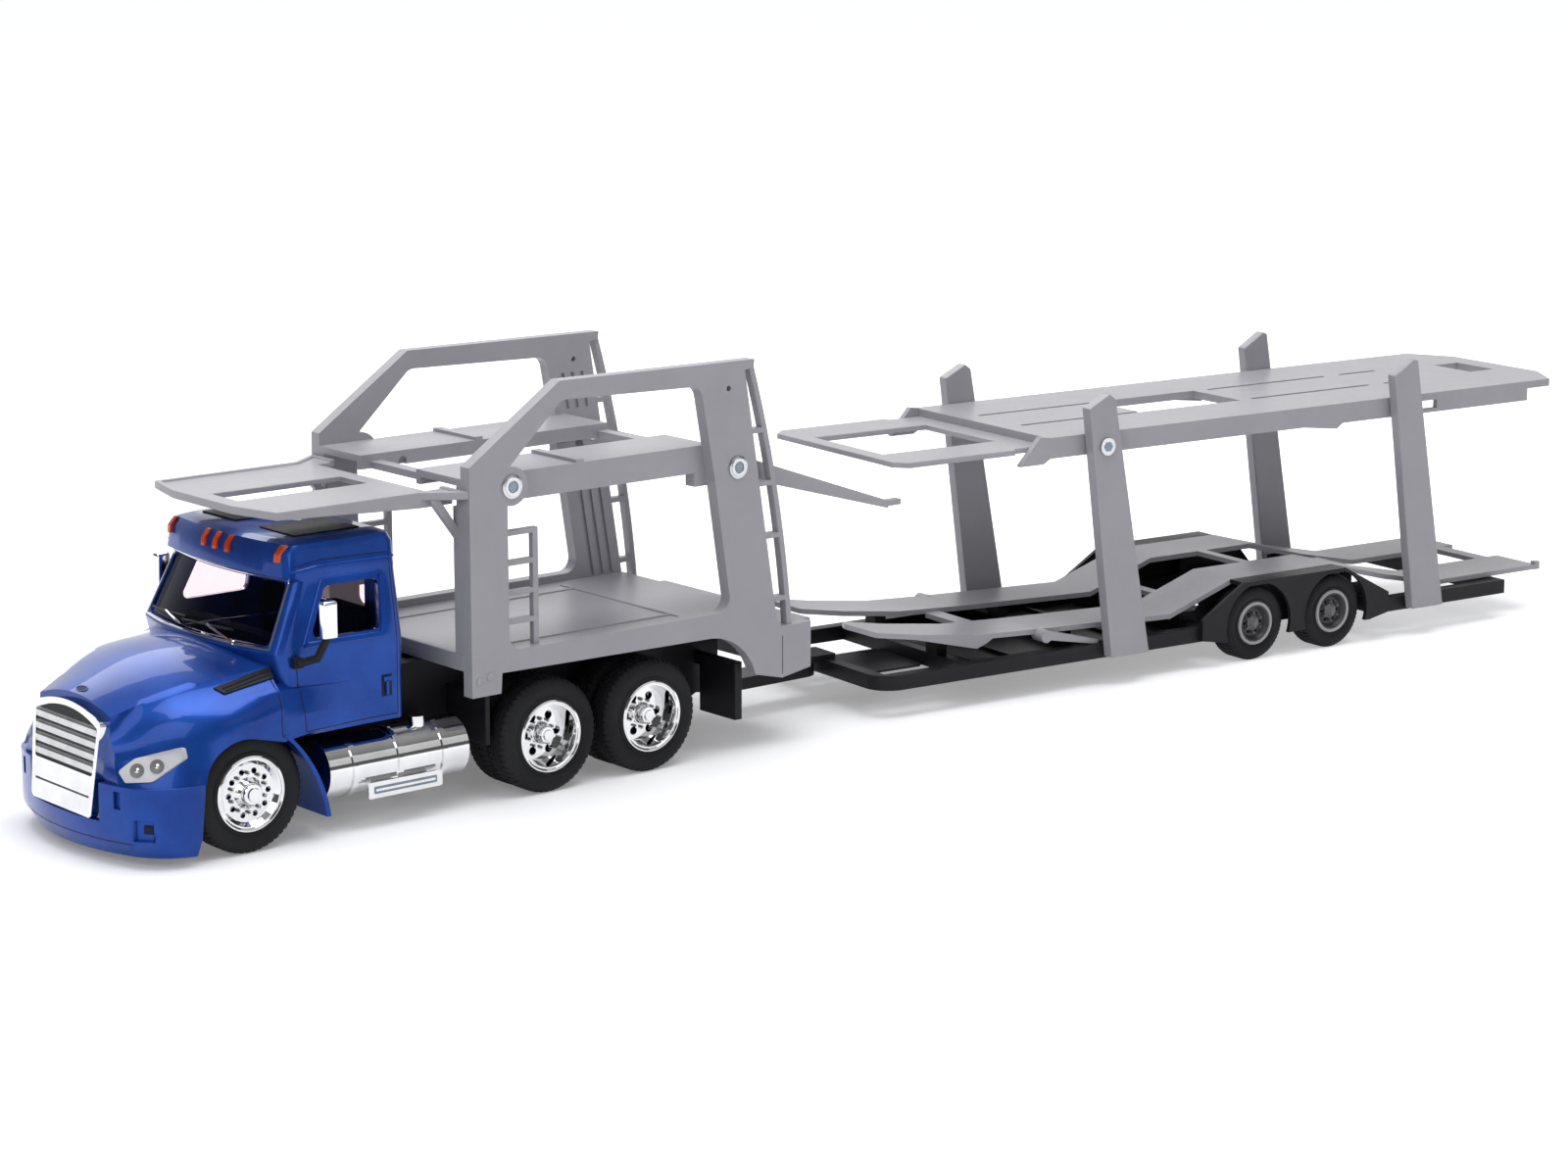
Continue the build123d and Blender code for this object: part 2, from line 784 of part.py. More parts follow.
# Mirrors
mirror_root = (149.8, 26.6, 36.4)
mirror_elbow = (147.4, 29.6, 37.6)
mirror_top = (145.6, 31.0, 42.2)
mirror_arm_radius = 0.8
mirror_foot = ((148.8, 150.8), (25.4, 26.8), (35.4, 37.4))
mirror_head = ((143.9, 147.3), (29.8, 32.2), (41.8, 49.1))
mirror_corner = 0.8
with BuildPart() as mirror_arms:
    with BuildLine() as arm_path:
        Polyline(mirror_root, mirror_elbow, mirror_top)
    with BuildSketch(Plane(mirror_root, z_dir=(arm_path.line % 0))):
        Circle(mirror_arm_radius)
    sweep(path=arm_path.line, transition=Transition.RIGHT)
    block(*mirror_foot)
    block(*mirror_head, mode=Mode.SUBTRACT)
    mirror(about=Plane.XZ)
write(mirror_arms, "mirror_arms")
with BuildPart() as mirror_heads:
    block(*mirror_head)
    fillet(mirror_heads.edges().filter_by(Axis.Z), mirror_corner)
    fillet(mirror_heads.faces().sort_by(Axis.Z)[-1].edges(), mirror_corner)
    mirror(about=Plane.XZ)
write(mirror_heads, "mirror_heads")

# Interior: plinth on the rails, floor, dash and seats, seen through the glass
interior_half = 22.4
seat_half = 6.0
seat_y = 11.5
floor_low = 22.2
floor_high = 24.0
with BuildPart() as cab_interior:
    block((cab_rear + cab_wall, 146.0), (-rail_outer, rail_outer), (rail_low_top, floor_low))
    block((cab_rear + cab_wall, 146.0), (-interior_half, interior_half), (floor_low, floor_high))
    block((142.5, 146.0), (-interior_half, interior_half), (floor_high, 38.0))
    for y in (-seat_y, seat_y):
        block((127.2, 137.0), (y - seat_half, y + seat_half), (floor_high, 29.0))
        block((127.2, 130.2), (y - seat_half, y + seat_half), (29.0, 43.0))
write(cab_interior, "cab_interior")


# Truck body: lower deck and rear beam
rear_beam_bottom = 15.5
rear_beam_top = 26.7
rear_shelf = 17.7
rear_shelf_bottom = 24.7
beam_front = 23.0
riser = 2.0
lip_height = 1.6
lower_deck_blocks = [
    # x low, x high, z low, z high
    (chassis_rear - riser, bed_front, deck_floor_bottom, deck_floor_top),
    (chassis_rear - riser, chassis_rear, rear_shelf_bottom, deck_floor_top),
    (bed_rear, chassis_rear, rear_shelf_bottom, rear_beam_top),
    (rear_shelf, beam_front, rear_beam_bottom, rear_beam_top),
    (bed_front - riser, bed_front, deck_floor_top, deck_floor_top + lip_height),
]
with BuildPart() as lower_deck:
    for x_low, x_high, z_low, z_high in lower_deck_blocks:
        block((x_low, x_high), (-frame_inner, frame_inner), (z_low, z_high))
write(lower_deck, "lower_deck")

# Side frames: one cast piece a side, with its ladders
frame_outline = [
    (102.8, 23.4),
    (110.0, 23.4),
    (110.0, 70.6),
    (87.2, frame_top),
    (36.0, 85.5),
    (36.2, 83.8),
    (38.6, 83.4),
    (29.8, 28.2),
    (28.6, rear_beam_top),
    (bed_rear, rear_beam_top),
    (bed_rear, 16.6),
    (28.2, 15.3),
    (35.7, 17.1),
]
arch_mid = (40.4, 24.0)
arch_end = (48.6, 26.8)
frame_opening = [
    (86.8, 82.0),
    (50.5, 81.1),
    (46.9, 61.2),
    (42.4, sill_top),
    (100.6, sill_top),
    (100.6, 69.2),
]
opening_radius = 3.0
boss_radius = 4.0
screw_shaft = 1.0
pin_hole = (43.0, 79.9)
rear_ladder = [(36.0, 84.6), (29.5, 58.0), (25.2, rear_beam_top - 0.3)]
rear_rung_z = (32.8, 46.8, 58.4, 70.0)
rear_rung_length = 5.6
ladder_rail = 1.3
front_ladder_x = 92.0
front_rung_z = (37.4, 43.4, 49.6, 55.8)
rung_height = 1.1
ladder_depth = 1.4
groove_width = 0.9
groove_depth = 0.5
groove_slope = 0.166
groove_x = (32.7, 35.3, 37.9)
groove_spans = [
    # z low, z high
    (30.5, 57.0),
    (69.0, 77.0),
]
pillar_rib = riser
brace_thickness = 1.5
brace = [
    (bed_front, 55.6),
    (bed_front, 58.2),
    (bed_front + 4.2, header_bottom),
    (bed_front + 6.4, header_bottom),
]


def rear_ladder_x(z):
    """X of the bowed rear ladder at height z, on the chords of its arc."""
    head, middle, foot = rear_ladder
    (high_x, high_z), (low_x, low_z) = (head, middle) if z > middle[1] else (middle, foot)
    return low_x + (high_x - low_x) * (z - low_z) / (high_z - low_z)


for name, sign in (("side_frame_left", 1), ("side_frame_right", -1)):
    y_low, y_high = sorted((sign * frame_inner, sign * half_width))
    ladder_low, ladder_high = sorted((sign * frame_inner, sign * (frame_inner + ladder_depth)))
    rail_low, rail_high = sorted((sign * (frame_inner + 0.5), sign * (half_width - 0.5)))
    with BuildPart() as side_frame:
        with BuildSketch(Plane.XZ.offset(-y_high)) as frame_side:
            with BuildLine():
                Polyline(*frame_outline)
                ThreePointArc(frame_outline[-1], arch_mid, arch_end)
                Polyline(arch_end, (102.5, sill_bottom), frame_outline[0])
            make_face()
            with BuildLine():
                Polyline(*frame_opening, close=True)
            make_face(mode=Mode.SUBTRACT)
            fillet(frame_side.face().inner_wires()[0].vertices(), opening_radius)
            with Locations(front_screw):
                Circle(boss_radius)
            with Locations(front_screw, rear_screw):
                Circle(screw_shaft, mode=Mode.SUBTRACT)
            with Locations(pin_hole):
                Circle(0.6, mode=Mode.SUBTRACT)
        extrude(amount=frame_thickness)
        with BuildSketch(Plane.XZ.offset(-rail_high)) as rail_view:
            with BuildLine():
                ThreePointArc(*rear_ladder)
                Line(rear_ladder[2], (rear_ladder[2][0] + ladder_rail, rear_ladder[2][1]))
                ThreePointArc(*[(x + ladder_rail, z) for x, z in reversed(rear_ladder)])
                Line((rear_ladder[0][0] + ladder_rail, rear_ladder[0][1]), rear_ladder[0])
            make_face()
        extrude(rail_view.sketch, amount=rail_high - rail_low)
        for z in rear_rung_z:
            x = rear_ladder_x(z) + ladder_rail / 2
            block(
                (x, x + rear_rung_length),
                (rail_low, rail_high),
                (z - rung_height / 2, z + rung_height / 2),
            )
        block(
            (front_ladder_x, front_ladder_x + ladder_rail),
            (ladder_low, ladder_high),
            (sill_top - 0.5, front_rung_z[-1] + rung_height / 2),
        )
        for z in front_rung_z:
            block(
                (front_ladder_x, 101.0),
                (ladder_low, ladder_high),
                (z - rung_height / 2, z + rung_height / 2),
            )
        rib_low, rib_high = sorted((sign * header_half_width, sign * frame_inner))
        block((bed_front - pillar_rib, bed_front), (rib_low, rib_high), (sill_top, upper_deck_rail_bottom))
        side_plate(brace, *sorted((sign * header_half_width, sign * (header_half_width + brace_thickness))))
        groove_low, groove_high = sorted((sign * frame_inner, sign * (frame_inner + groove_depth)))
        for z_low, z_high in groove_spans:
            for base in groove_x:
                foot, head = [base + groove_slope * (z - groove_spans[0][0]) for z in (z_low, z_high)]
                groove = [
                    (foot, z_low),
                    (foot + groove_width, z_low),
                    (head + groove_width, z_high),
                    (head, z_high),
                ]
                side_plate(groove, groove_low, groove_high, Mode.SUBTRACT)
    write(side_frame, name)

# Upper deck over the lower one, and the header over the cab
rail_thickness = 1.5
step_x = 80.0
step_width = 2.0
step_height = 0.7
with BuildPart() as upper_deck:
    block(
        (upper_deck_rear, bed_front),
        (track_inner, frame_inner),
        (upper_deck_top - upper_deck_plate, upper_deck_top),
    )
    block(
        (upper_deck_rear, bed_front),
        (frame_inner - rail_thickness, frame_inner),
        (upper_deck_rail_bottom, upper_deck_top),
    )
    block(
        (upper_deck_rear, bed_front),
        (track_inner, track_inner + rail_thickness),
        (upper_deck_top - 3, upper_deck_top),
    )
    block(
        (step_x - step_width / 2, step_x + step_width / 2),
        (track_inner, frame_inner),
        (upper_deck_top, upper_deck_top + step_height),
    )
    block((45.0, 50.0), (frame_inner - 3, frame_inner), (59.3, upper_deck_rail_bottom))
    cross_cylinder(*front_screw, screw_shaft, 0, frame_inner, Mode.SUBTRACT)
    mirror(about=Plane.XZ)
    for x in (47.0, 106.0):
        block((x - 1.4, x + 1.4), (-track_inner, track_inner), (upper_deck_top - 3, upper_deck_top - 1.5))
write(upper_deck, "upper_deck")

header_plan = [
    (bed_front, half_width - seat_gap),
    (bed_front + 8.0, header_half_width),
    (header_front - 2.9, header_half_width),
    (header_front, header_half_width / 2),
]
header_notch = {"x": (bed_front, bed_front + 4.5), "half": header_half_width - 3.1}
header_hole = {"x": (118.5, 149.0), "half": 5.0}
header_rim = 1.2
header_rim_height = 0.5
header_rail_foot = header_bottom - 1.6
header_rail = [
    (bed_front, header_rail_foot),
    (bed_front + 8.0, header_rail_foot),
    (header_front - 4.0, header_bottom),
    (bed_front, header_bottom),
]
with BuildPart() as header:
    mirrored_plan = [(x, -y) for x, y in reversed(header_plan)]
    floor_plate(header_plan + mirrored_plan, header_bottom, header_top)
    with BuildSketch(Plane.XY.offset(header_top)) as header_top_view:
        with BuildLine():
            Polyline(*header_plan, *mirrored_plan, close=True)
        make_face()
        offset(amount=-header_rim, mode=Mode.SUBTRACT)
    extrude(header_top_view.sketch, amount=header_rim_height)
    for opening in (header_notch, header_hole):
        block(
            opening["x"],
            (-opening["half"], opening["half"]),
            (header_bottom, header_top + header_rim_height),
            Mode.SUBTRACT,
        )
    for y_low, y_high in (
        (header_half_width - rail_thickness, header_half_width),
        (-header_half_width, rail_thickness - header_half_width),
    ):
        side_plate(header_rail, y_low, y_high)
write(header, "header")

# Screws that hold the decks to the frames and carry the flap
flap_half_width = frame_inner - flap_gap
screw_head = 0.6
screw_socket = 0.6 * screw_radius
screw_reach = flap_half_width - flap_arm - seat_gap
with BuildPart() as deck_screws:
    for x, z in (front_screw, rear_screw):
        cross_cylinder(x, z, screw_shaft, screw_reach, half_width)
        head_face = half_width + screw_head
        cross_cylinder(x, z, screw_radius, half_width, head_face)
        cross_cylinder(x, z, screw_socket, head_face - screw_head / 2, head_face, Mode.SUBTRACT)
    mirror(about=Plane.XZ)
write(deck_screws, "deck_screws")

# Rear flap, hung on the rear screws
flap_boss = 3.0
flap_side = [
    (38.6, 60.6),
    (27.9, 57.2),
    (-5.7, 47.8),
    (-5.7, 49.5),
    (31.3, 62.5),
    (40.0, 65.8),
]
flap_plate = [(27.9, 59.4), (-5.7, 47.9), (-5.7, 49.5), (33.0, 63.1), (33.8, 61.4)]
with BuildPart() as rear_flap:
    side_plate(flap_side, flap_half_width - flap_arm, flap_half_width)
    cross_cylinder(*rear_screw, flap_boss, flap_half_width - flap_arm, flap_half_width)
    side_plate(flap_plate, track_inner, flap_half_width)
    block((-10.3, -5.0), (flap_half_width - 3, flap_half_width - 1), (48.0, 49.2))
    cross_cylinder(*rear_screw, screw_shaft + 0.08, 0, flap_half_width, Mode.SUBTRACT)
    mirror(about=Plane.XZ)
    side_plate([(33.0, 63.1), (33.8, 61.4), (28.0, 59.4), (27.4, 61.1)], -track_inner, track_inner)
    side_plate([(-5.7, 47.9), (-5.7, 49.5), (-2.0, 50.8), (-2.0, 49.2)], -track_inner, track_inner)
write(rear_flap, "rear_flap")

# Mud flaps behind the drive wheels and quarter guards ahead of them
mud_flaps_table = [
    # x low, x high, y inner, y outer, z low, z high
    (36.8, 38.8, rail_outer + 2, frame_inner - running_gap, 6.8, 19.6),
    (36.8, 38.8, rail_outer, frame_inner - running_gap, 17.0, 19.6),
    (103.2, 104.4, rail_outer, 25.0, 12.0, 22.5),
]
with BuildPart() as mud_flaps:
    for x_low, x_high, y_low, y_high, z_low, z_high in mud_flaps_table:
        block((x_low, x_high), (y_low, y_high), (z_low, z_high))
    mirror(about=Plane.XZ)
write(mud_flaps, "mud_flaps")


# Trailer frame: an outer loop ahead of and behind the wheels, narrow rails between them
wheel_bay = (-152.5, -101.0)
inner_rail = (15.4, 18.6)
inner_rail_top = 12.4
rail_inside = trailer_half_width - trailer_rail
tongue_half = 4.0
hitch_hole = pin_radius + 0.1
frame_ties = [
    # x low, x high, half width
    (loop_front - trailer_rail, loop_front, trailer_half_width),
    (-32.0, -29.0, trailer_half_width),
    (-68.0, -65.0, trailer_half_width),
    (wheel_bay[1], wheel_bay[1] + 4, trailer_half_width),
    (-128.0, -125.4, inner_rail[1]),
    (wheel_bay[0] - 4, wheel_bay[0], trailer_half_width),
    (trailer_frame_rear, trailer_frame_rear + 3, trailer_half_width),
]
deck_supports = [
    # x low, x high, y low, y high, z low, z high
    (-32.0, -29.0, 10.0, 14.0, 9.0, 14.3),
    (-68.0, -65.0, 10.0, 14.0, 9.0, 12.4),
    (-127.6, -125.6, 15.4, 18.6, 9.0, 18.4),
    (-156.0, -153.0, 10.0, 14.0, 9.0, 14.6),
    (trailer_frame_rear, trailer_frame_rear + 3, 10.0, 14.0, 9.0, 9.9),
]
with BuildPart() as trailer_frame:
    for x_low, x_high in ((wheel_bay[1], loop_front), (trailer_frame_rear, wheel_bay[0])):
        block((x_low, x_high), (rail_inside, trailer_half_width), (trailer_frame_bottom, trailer_frame_top))
    block((wheel_bay[0] - 4, wheel_bay[1] + 4), inner_rail, (trailer_frame_bottom, inner_rail_top))
    for x_low, x_high, y_low, y_high, z_low, z_high in deck_supports:
        block((x_low, x_high), (y_low, y_high), (z_low, z_high))
    mirror(about=Plane.XZ)
    for x_low, x_high, half in frame_ties:
        block((x_low, x_high), (-half, half), (trailer_frame_bottom, trailer_frame_top))
    corners = trailer_frame.edges().filter_by(Axis.Z).group_by(Axis.X)[-1]
    fillet(corners, 6)
    block((loop_front - trailer_rail, 0), (-tongue_half, tongue_half), (tongue_bottom, tongue_top))
    with BuildSketch(Plane.XY.offset(tongue_bottom)) as tongue_eye:
        Circle(tongue_half)
    extrude(tongue_eye.sketch, amount=tongue_top - tongue_bottom)
    with BuildSketch(Plane.XY.offset(tongue_bottom)) as tongue_bore:
        Circle(hitch_hole)
    extrude(tongue_bore.sketch, amount=tongue_top - tongue_bottom, mode=Mode.SUBTRACT)
    for axle_x in trailer_axle_x.values():
        cross_cylinder(axle_x, trailer_tyre_radius, axle_bore, -inner_rail[1], inner_rail[1], Mode.SUBTRACT)
write_trailer(trailer_frame, "trailer_frame")

# Lower tracks of the trailer: two folded strips with cross ties
track_profile = [
    # x, top height
    (-1.0, 21.4),
    (-6.4, 19.5),
    (-18.4, 17.5),
    (-34.4, 15.5),
    (-51.4, 14.7),
    (-69.4, 14.1),
    (-91.4, 13.4),
    (-110.0, 19.6),
    (-141.8, 19.6),
    (-159.4, 15.0),
    (-176.4, 11.5),
    (-211.4, 11.5),
]
track_thickness = 1.2
tip_x = track_profile[0][0]
tip_point = trailer_track_outer - 4.4
tip_front = tip_x + 1.0
tip_cuts = [
    # (x, y) corners cut off the tip
    [(tip_front, tip_point), (tip_x, tip_point), (tip_x - 6.0, edge), (tip_front, edge)]
    for edge in (trailer_track_outer, trailer_track_inner)
]
tip_height = (10.0, 30.0)
nub_x, nub_z = track_profile[-1]
nub = (
    (nub_x - 1.2, nub_x + 0.4),
    (trailer_track_outer - 1.6, trailer_track_outer),
    (nub_z - 1.3, nub_z + 0.7),
)
skirt = [(-16.0, 16.8), (-34.6, 12.2), (-37.5, 13.2), (-40.0, 14.6), (-34.4, 15.2), (-18.4, 17.2)]
skirt_thickness = 1.2
knuckle = (-52.5, 13.3)
knuckle_radius = 1.5
strut = [(-52.0, 12.6), (-66.0, trailer_frame_top), (-67.5, trailer_frame_top), (-67.5, 10.8), (-53.0, 14.6)]
strut_y = (trailer_half_width - trailer_rail, trailer_half_width - 1.2)
track_ties = [
    # x low, x high, z low
    (-46.0, -42.0, 13.0),
    (-100.0, -97.0, 14.2),
    (-127.6, -125.0, 18.4),
    (-164.0, -161.0, 12.6),
    (-208.0, -204.0, 10.3),
]
with BuildPart() as trailer_lower_deck:
    underside = [(x, z - track_thickness) for x, z in reversed(track_profile)]
    side_plate(track_profile + underside, trailer_track_inner, trailer_track_outer)
    for cut in tip_cuts:
        floor_plate(cut, *tip_height, Mode.SUBTRACT)
    block(*nub)
    side_plate(skirt, trailer_track_outer - skirt_thickness, trailer_track_outer)
    cross_cylinder(*knuckle, knuckle_radius, trailer_track_outer - skirt_thickness, strut_y[1])
    side_plate(strut, *strut_y)
    mirror(about=Plane.XZ)
    for x_low, x_high, z_low in track_ties:
        z_high = z_low + track_thickness
        block((x_low, x_high), (-trailer_track_inner, trailer_track_inner), (z_low, z_high))
write_trailer(trailer_lower_deck, "trailer_lower_deck")

# Trailer fenders: a side panel with two arches and a shelf over the wheels
fender_face = (26.3, 27.3)
fender_outline = [
    (wheel_bay[1] + 4, 7.0),
    (wheel_bay[1] + 4, 12.0),
    (-109.6, 19.6),
    (-141.6, 19.6),
    (-156.0, 12.0),
    (-156.0, 7.0),
    (-150.0, 5.8),
    (-104.0, 5.8),
]
arch_clearance = 1.0
with BuildPart() as trailer_fenders:
    side_plate(fender_outline, *fender_face)
    for axle_x in trailer_axle_x.values():
        cross_cylinder(
            axle_x, trailer_tyre_radius, trailer_tyre_radius + arch_clearance, *fender_face, Mode.SUBTRACT
        )
    block((-141.6, -109.6), (trailer_track_outer, fender_face[1]), (18.6, 19.6))
    for x_low, x_high in ((wheel_bay[1], wheel_bay[1] + 4), (wheel_bay[0] - 3.5, wheel_bay[0])):
        block((x_low, x_high), (trailer_half_width, fender_face[0]), (7.0, trailer_frame_top))
    mirror(about=Plane.XZ)
write_trailer(trailer_fenders, "trailer_fenders")

# Trailer posts, two a side
posts = {
    # (x, z) outline
    "front": [(-68.4, post_bottom), (-60.6, 65.8), (-66.4, 68.7), (-68.1, 67.5), (-79.5, post_bottom)],
    "rear": [(-162.8, post_bottom), (-154.2, 65.4), (-160.3, 69.0), (-161.7, 68.6), (-172.9, post_bottom)],
}
post_outer = trailer_half_width + post_thickness
post_screw_shaft = 1.2
for place, outline in posts.items():
    for side, sign in (("left", 1), ("right", -1)):
        y_low, y_high = sorted((sign * trailer_half_width, sign * post_outer))
        with BuildPart() as post:
            side_plate(outline, y_low, y_high)
            if place == "front":
                cross_cylinder(*deck_pivot, post_screw_shaft, y_low, y_high, Mode.SUBTRACT)
        write_trailer(post, f"trailer_post_{place}_{side}")

post_screw_reach = 23.0
with BuildPart() as post_screws:
    cross_cylinder(*deck_pivot, post_screw_shaft, post_screw_reach, post_outer)
    cross_cylinder(*deck_pivot, deck_pivot_radius + 0.6, post_outer, post_outer + screw_head)
    mirror(about=Plane.XZ)
write_trailer(post_screws, "post_screws")

# Trailer upper deck: slotted plate between two deep rails
deck_slots = [
    # x low, x high, y low, y high
    (-92.0, -57.0, 7.6, 8.8),
    (-165.0, -127.0, 7.6, 8.8),
    (-182.0, -170.0, 7.6, 8.8),
    (-123.0, -92.0, 0.0, 8.8),
    (-209.0, -201.0, 0.0, 6.5),
]
rail_side = [
    (-43.4, 53.7),
    (-49.1, 60.0),
    (-52.0, deck_top),
    (deck_rail_rear, deck_top),
    (deck_rail_rear, deck_rail_bottom),
    (-52.0, deck_rail_bottom),
    (-50.0, 53.7),
]
rail_loop = (-171.4, -165.0)
rail_foot = [(-128.0, deck_rail_bottom), (-138.8, deck_rail_bottom - 1.2), (-140.6, deck_rail_bottom)]
deck_plan = [(deck_front, deck_half_width), (deck_rear, deck_half_width), (deck_tail, 15.0)]
with BuildPart() as trailer_upper_deck:
    mirrored_plan = [(x, -y) for x, y in reversed(deck_plan)]
    floor_plate(deck_plan + mirrored_plan, deck_top - deck_plate, deck_top)
    rail_low = deck_half_width - deck_rail
    for y_low, y_high in ((rail_low, deck_half_width), (-deck_half_width, -rail_low)):
        side_plate(rail_side, y_low, y_high)
        block(rail_loop, (y_low, y_high), (deck_rail_bottom + 0.9, deck_top - deck_plate), Mode.SUBTRACT)
        side_plate(rail_foot, y_low, y_high)
    for x_low, x_high, y_low, y_high in deck_slots:
        block((x_low, x_high), (y_low, y_high), (deck_rail_bottom, deck_top), Mode.SUBTRACT)
        block((x_low, x_high), (-y_high, -y_low), (deck_rail_bottom, deck_top), Mode.SUBTRACT)
    cross_cylinder(*deck_pivot, post_screw_shaft + 0.08, -deck_half_width, deck_half_width, Mode.SUBTRACT)
write_trailer(trailer_upper_deck, "trailer_upper_deck")

extension_half = deck_half_width
extension_seat = deck_half_width - deck_rail - 2 * seat_gap
extension_hole = (-45.5, -14.0)
extension_hole_half = 13.5
extension_plan = [
    (extension_front, extension_half - 3),
    (extension_front - 3, extension_half),
    (-42.0, extension_half),
    (-43.0, extension_seat),
    (-60.0, extension_seat),
]
with BuildPart() as trailer_deck_extension:
    mirrored_plan = [(x, -y) for x, y in reversed(extension_plan)]
    floor_plate(extension_plan + mirrored_plan, extension_top - extension_thickness, extension_top)
    block(
        extension_hole,
        (-extension_hole_half, extension_hole_half),
        (extension_top - extension_thickness, extension_top),
        Mode.SUBTRACT,
    )
write_trailer(trailer_deck_extension, "trailer_deck_extension")
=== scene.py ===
"""Looks of the toy car transporter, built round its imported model.

Sizes are written in millimetres in the model's own frame (+X nose, +Y left, +Z up) and turned
into metres where a mesh is made. Trailer pieces are drawn square and then turned with the trailer.
"""
import json
import math

import bpy
from mathutils import Matrix, Vector
from mathutils.bvhtree import BVHTree


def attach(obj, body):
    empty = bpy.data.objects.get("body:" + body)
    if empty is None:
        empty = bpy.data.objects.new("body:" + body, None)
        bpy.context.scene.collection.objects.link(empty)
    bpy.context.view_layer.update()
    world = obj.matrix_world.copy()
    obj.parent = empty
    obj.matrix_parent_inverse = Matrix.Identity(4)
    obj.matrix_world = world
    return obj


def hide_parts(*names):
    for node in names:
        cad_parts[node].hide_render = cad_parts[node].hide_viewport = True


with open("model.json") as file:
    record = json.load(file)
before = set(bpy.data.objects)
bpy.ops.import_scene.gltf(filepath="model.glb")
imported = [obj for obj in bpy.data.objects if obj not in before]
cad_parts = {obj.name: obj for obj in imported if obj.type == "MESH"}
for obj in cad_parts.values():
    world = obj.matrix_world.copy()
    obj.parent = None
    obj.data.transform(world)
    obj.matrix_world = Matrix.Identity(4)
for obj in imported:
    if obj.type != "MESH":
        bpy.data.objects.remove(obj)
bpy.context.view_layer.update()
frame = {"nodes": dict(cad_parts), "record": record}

MM = 0.001
nodes = frame["nodes"]
slot_of = {row["node"]: row["material_slot"] for row in frame["record"]["subparts"]}

# Camera, fitted to the photograph
camera_place = (533.25, 626.18, 202.12)
camera_yaw = 229.78
camera_pitch = -12.05
camera_roll = 0.06
focal_pixels = 3800.0
image_width = 1600
sensor_width = 36.0
# Nearest and farthest distance seen, in metres
camera_clip = (0.01, 20.0)

# Places taken over from the model
trailer_yaw = -6.15
trailer_turn = Matrix.Rotation(math.radians(trailer_yaw), 4, "Z")
grille_foot = Vector((186.6, 0.0, 8.6))
grille_lean = math.radians(6.5)

# Scales of the textures, depths of their bumps in metres, and shares in their mixes
flake_scale, flake_depth, flake_strength, flake_share = 9000.0, 0.00002, 0.08, 0.35
paint_cloud_scale, drift_scale, metal_cloud_scale, lens_cloud_scale = 90.0, 60.0, 220.0, 300.0
lens_rib_scale = 400.0
grain_depth, ripple_depth, rib_depth = 0.00008, 0.0001, 0.00005
gloss_drift, metal_gloss_low, metal_gloss_high = 0.07, 0.7, 1.3
paint_ramp = (0.35, 1.0)


# Materials
def new_material(name):
    """Empty node material; returns the material, its nodes, its links and its Principled shader."""
    material = bpy.data.materials.new(name)
    material.use_nodes = True
    tree = material.node_tree
    return material, tree.nodes, tree.links, tree.nodes["Principled BSDF"]


def set_values(shader, **values):
    """Set plain numbers and colours on a shader's own sockets."""
    for name, value in values.items():
        socket = shader.inputs[name.replace("_", " ")]
        socket.default_value = (*value, 1.0) if isinstance(value, tuple) else value


def texture(tree_nodes, links, kind, scale, **values):
    """Texture node fed with object coordinates."""
    coordinates = tree_nodes.new("ShaderNodeTexCoord")
    node = tree_nodes.new(kind)
    node.inputs["Scale"].default_value = scale
    for name, value in values.items():
        node.inputs[name].default_value = value
    links.new(coordinates.outputs["Object"], node.inputs["Vector"])
    return node


def ramp(tree_nodes, links, factor, low, high, start=0.3, end=0.7):
    """Colour ramp between two colours."""
    node = tree_nodes.new("ShaderNodeValToRGB")
    for element, position, colour in zip(node.color_ramp.elements, (start, end), (low, high)):
        element.position = position
        element.color = (*colour, 1.0)
    links.new(factor, node.inputs["Fac"])
    return node.outputs["Color"]


def spread(tree_nodes, links, factor, low, high):
    """Map a texture's 0 to 1 onto a range of numbers."""
    node = tree_nodes.new("ShaderNodeMapRange")
    node.inputs["To Min"].default_value = low
    node.inputs["To Max"].default_value = high
    links.new(factor, node.inputs["Value"])
    return node.outputs["Result"]


def add_bump(tree_nodes, links, shader, height, strength, distance):
    """Bump from a height output into the shader's normal."""
    bump = tree_nodes.new("ShaderNodeBump")
    bump.inputs["Strength"].default_value = strength
    bump.inputs["Distance"].default_value = distance
    links.new(height, bump.inputs["Height"])
    links.new(bump.outputs["Normal"], shader.inputs["Normal"])


def paint_material(name, deep, bright):
    """Metallic car paint: fine flakes under a clear coat."""
    material, tree_nodes, links, shader = new_material(name)
    set_values(shader, Metallic=0.55, Roughness=0.36, Specular_IOR_Level=0.1)
    set_values(shader, Coat_Weight=1.0, Coat_Roughness=0.03, Coat_IOR=1.24)
    flakes = texture(tree_nodes, links, "ShaderNodeTexVoronoi", flake_scale)
    cloud = texture(tree_nodes, links, "ShaderNodeTexNoise", paint_cloud_scale, Detail=3.0)
    mix = tree_nodes.new("ShaderNodeMath")
    mix.operation = "MULTIPLY_ADD"
    mix.inputs[1].default_value = flake_share
    links.new(flakes.outputs["Distance"], mix.inputs[0])
    links.new(cloud.outputs["Fac"], mix.inputs[2])
    colour = ramp(tree_nodes, links, mix.outputs["Value"], deep, bright, *paint_ramp)
    links.new(colour, shader.inputs["Base Color"])
    add_bump(tree_nodes, links, shader, flakes.outputs["Distance"], flake_strength, flake_depth)
    return material


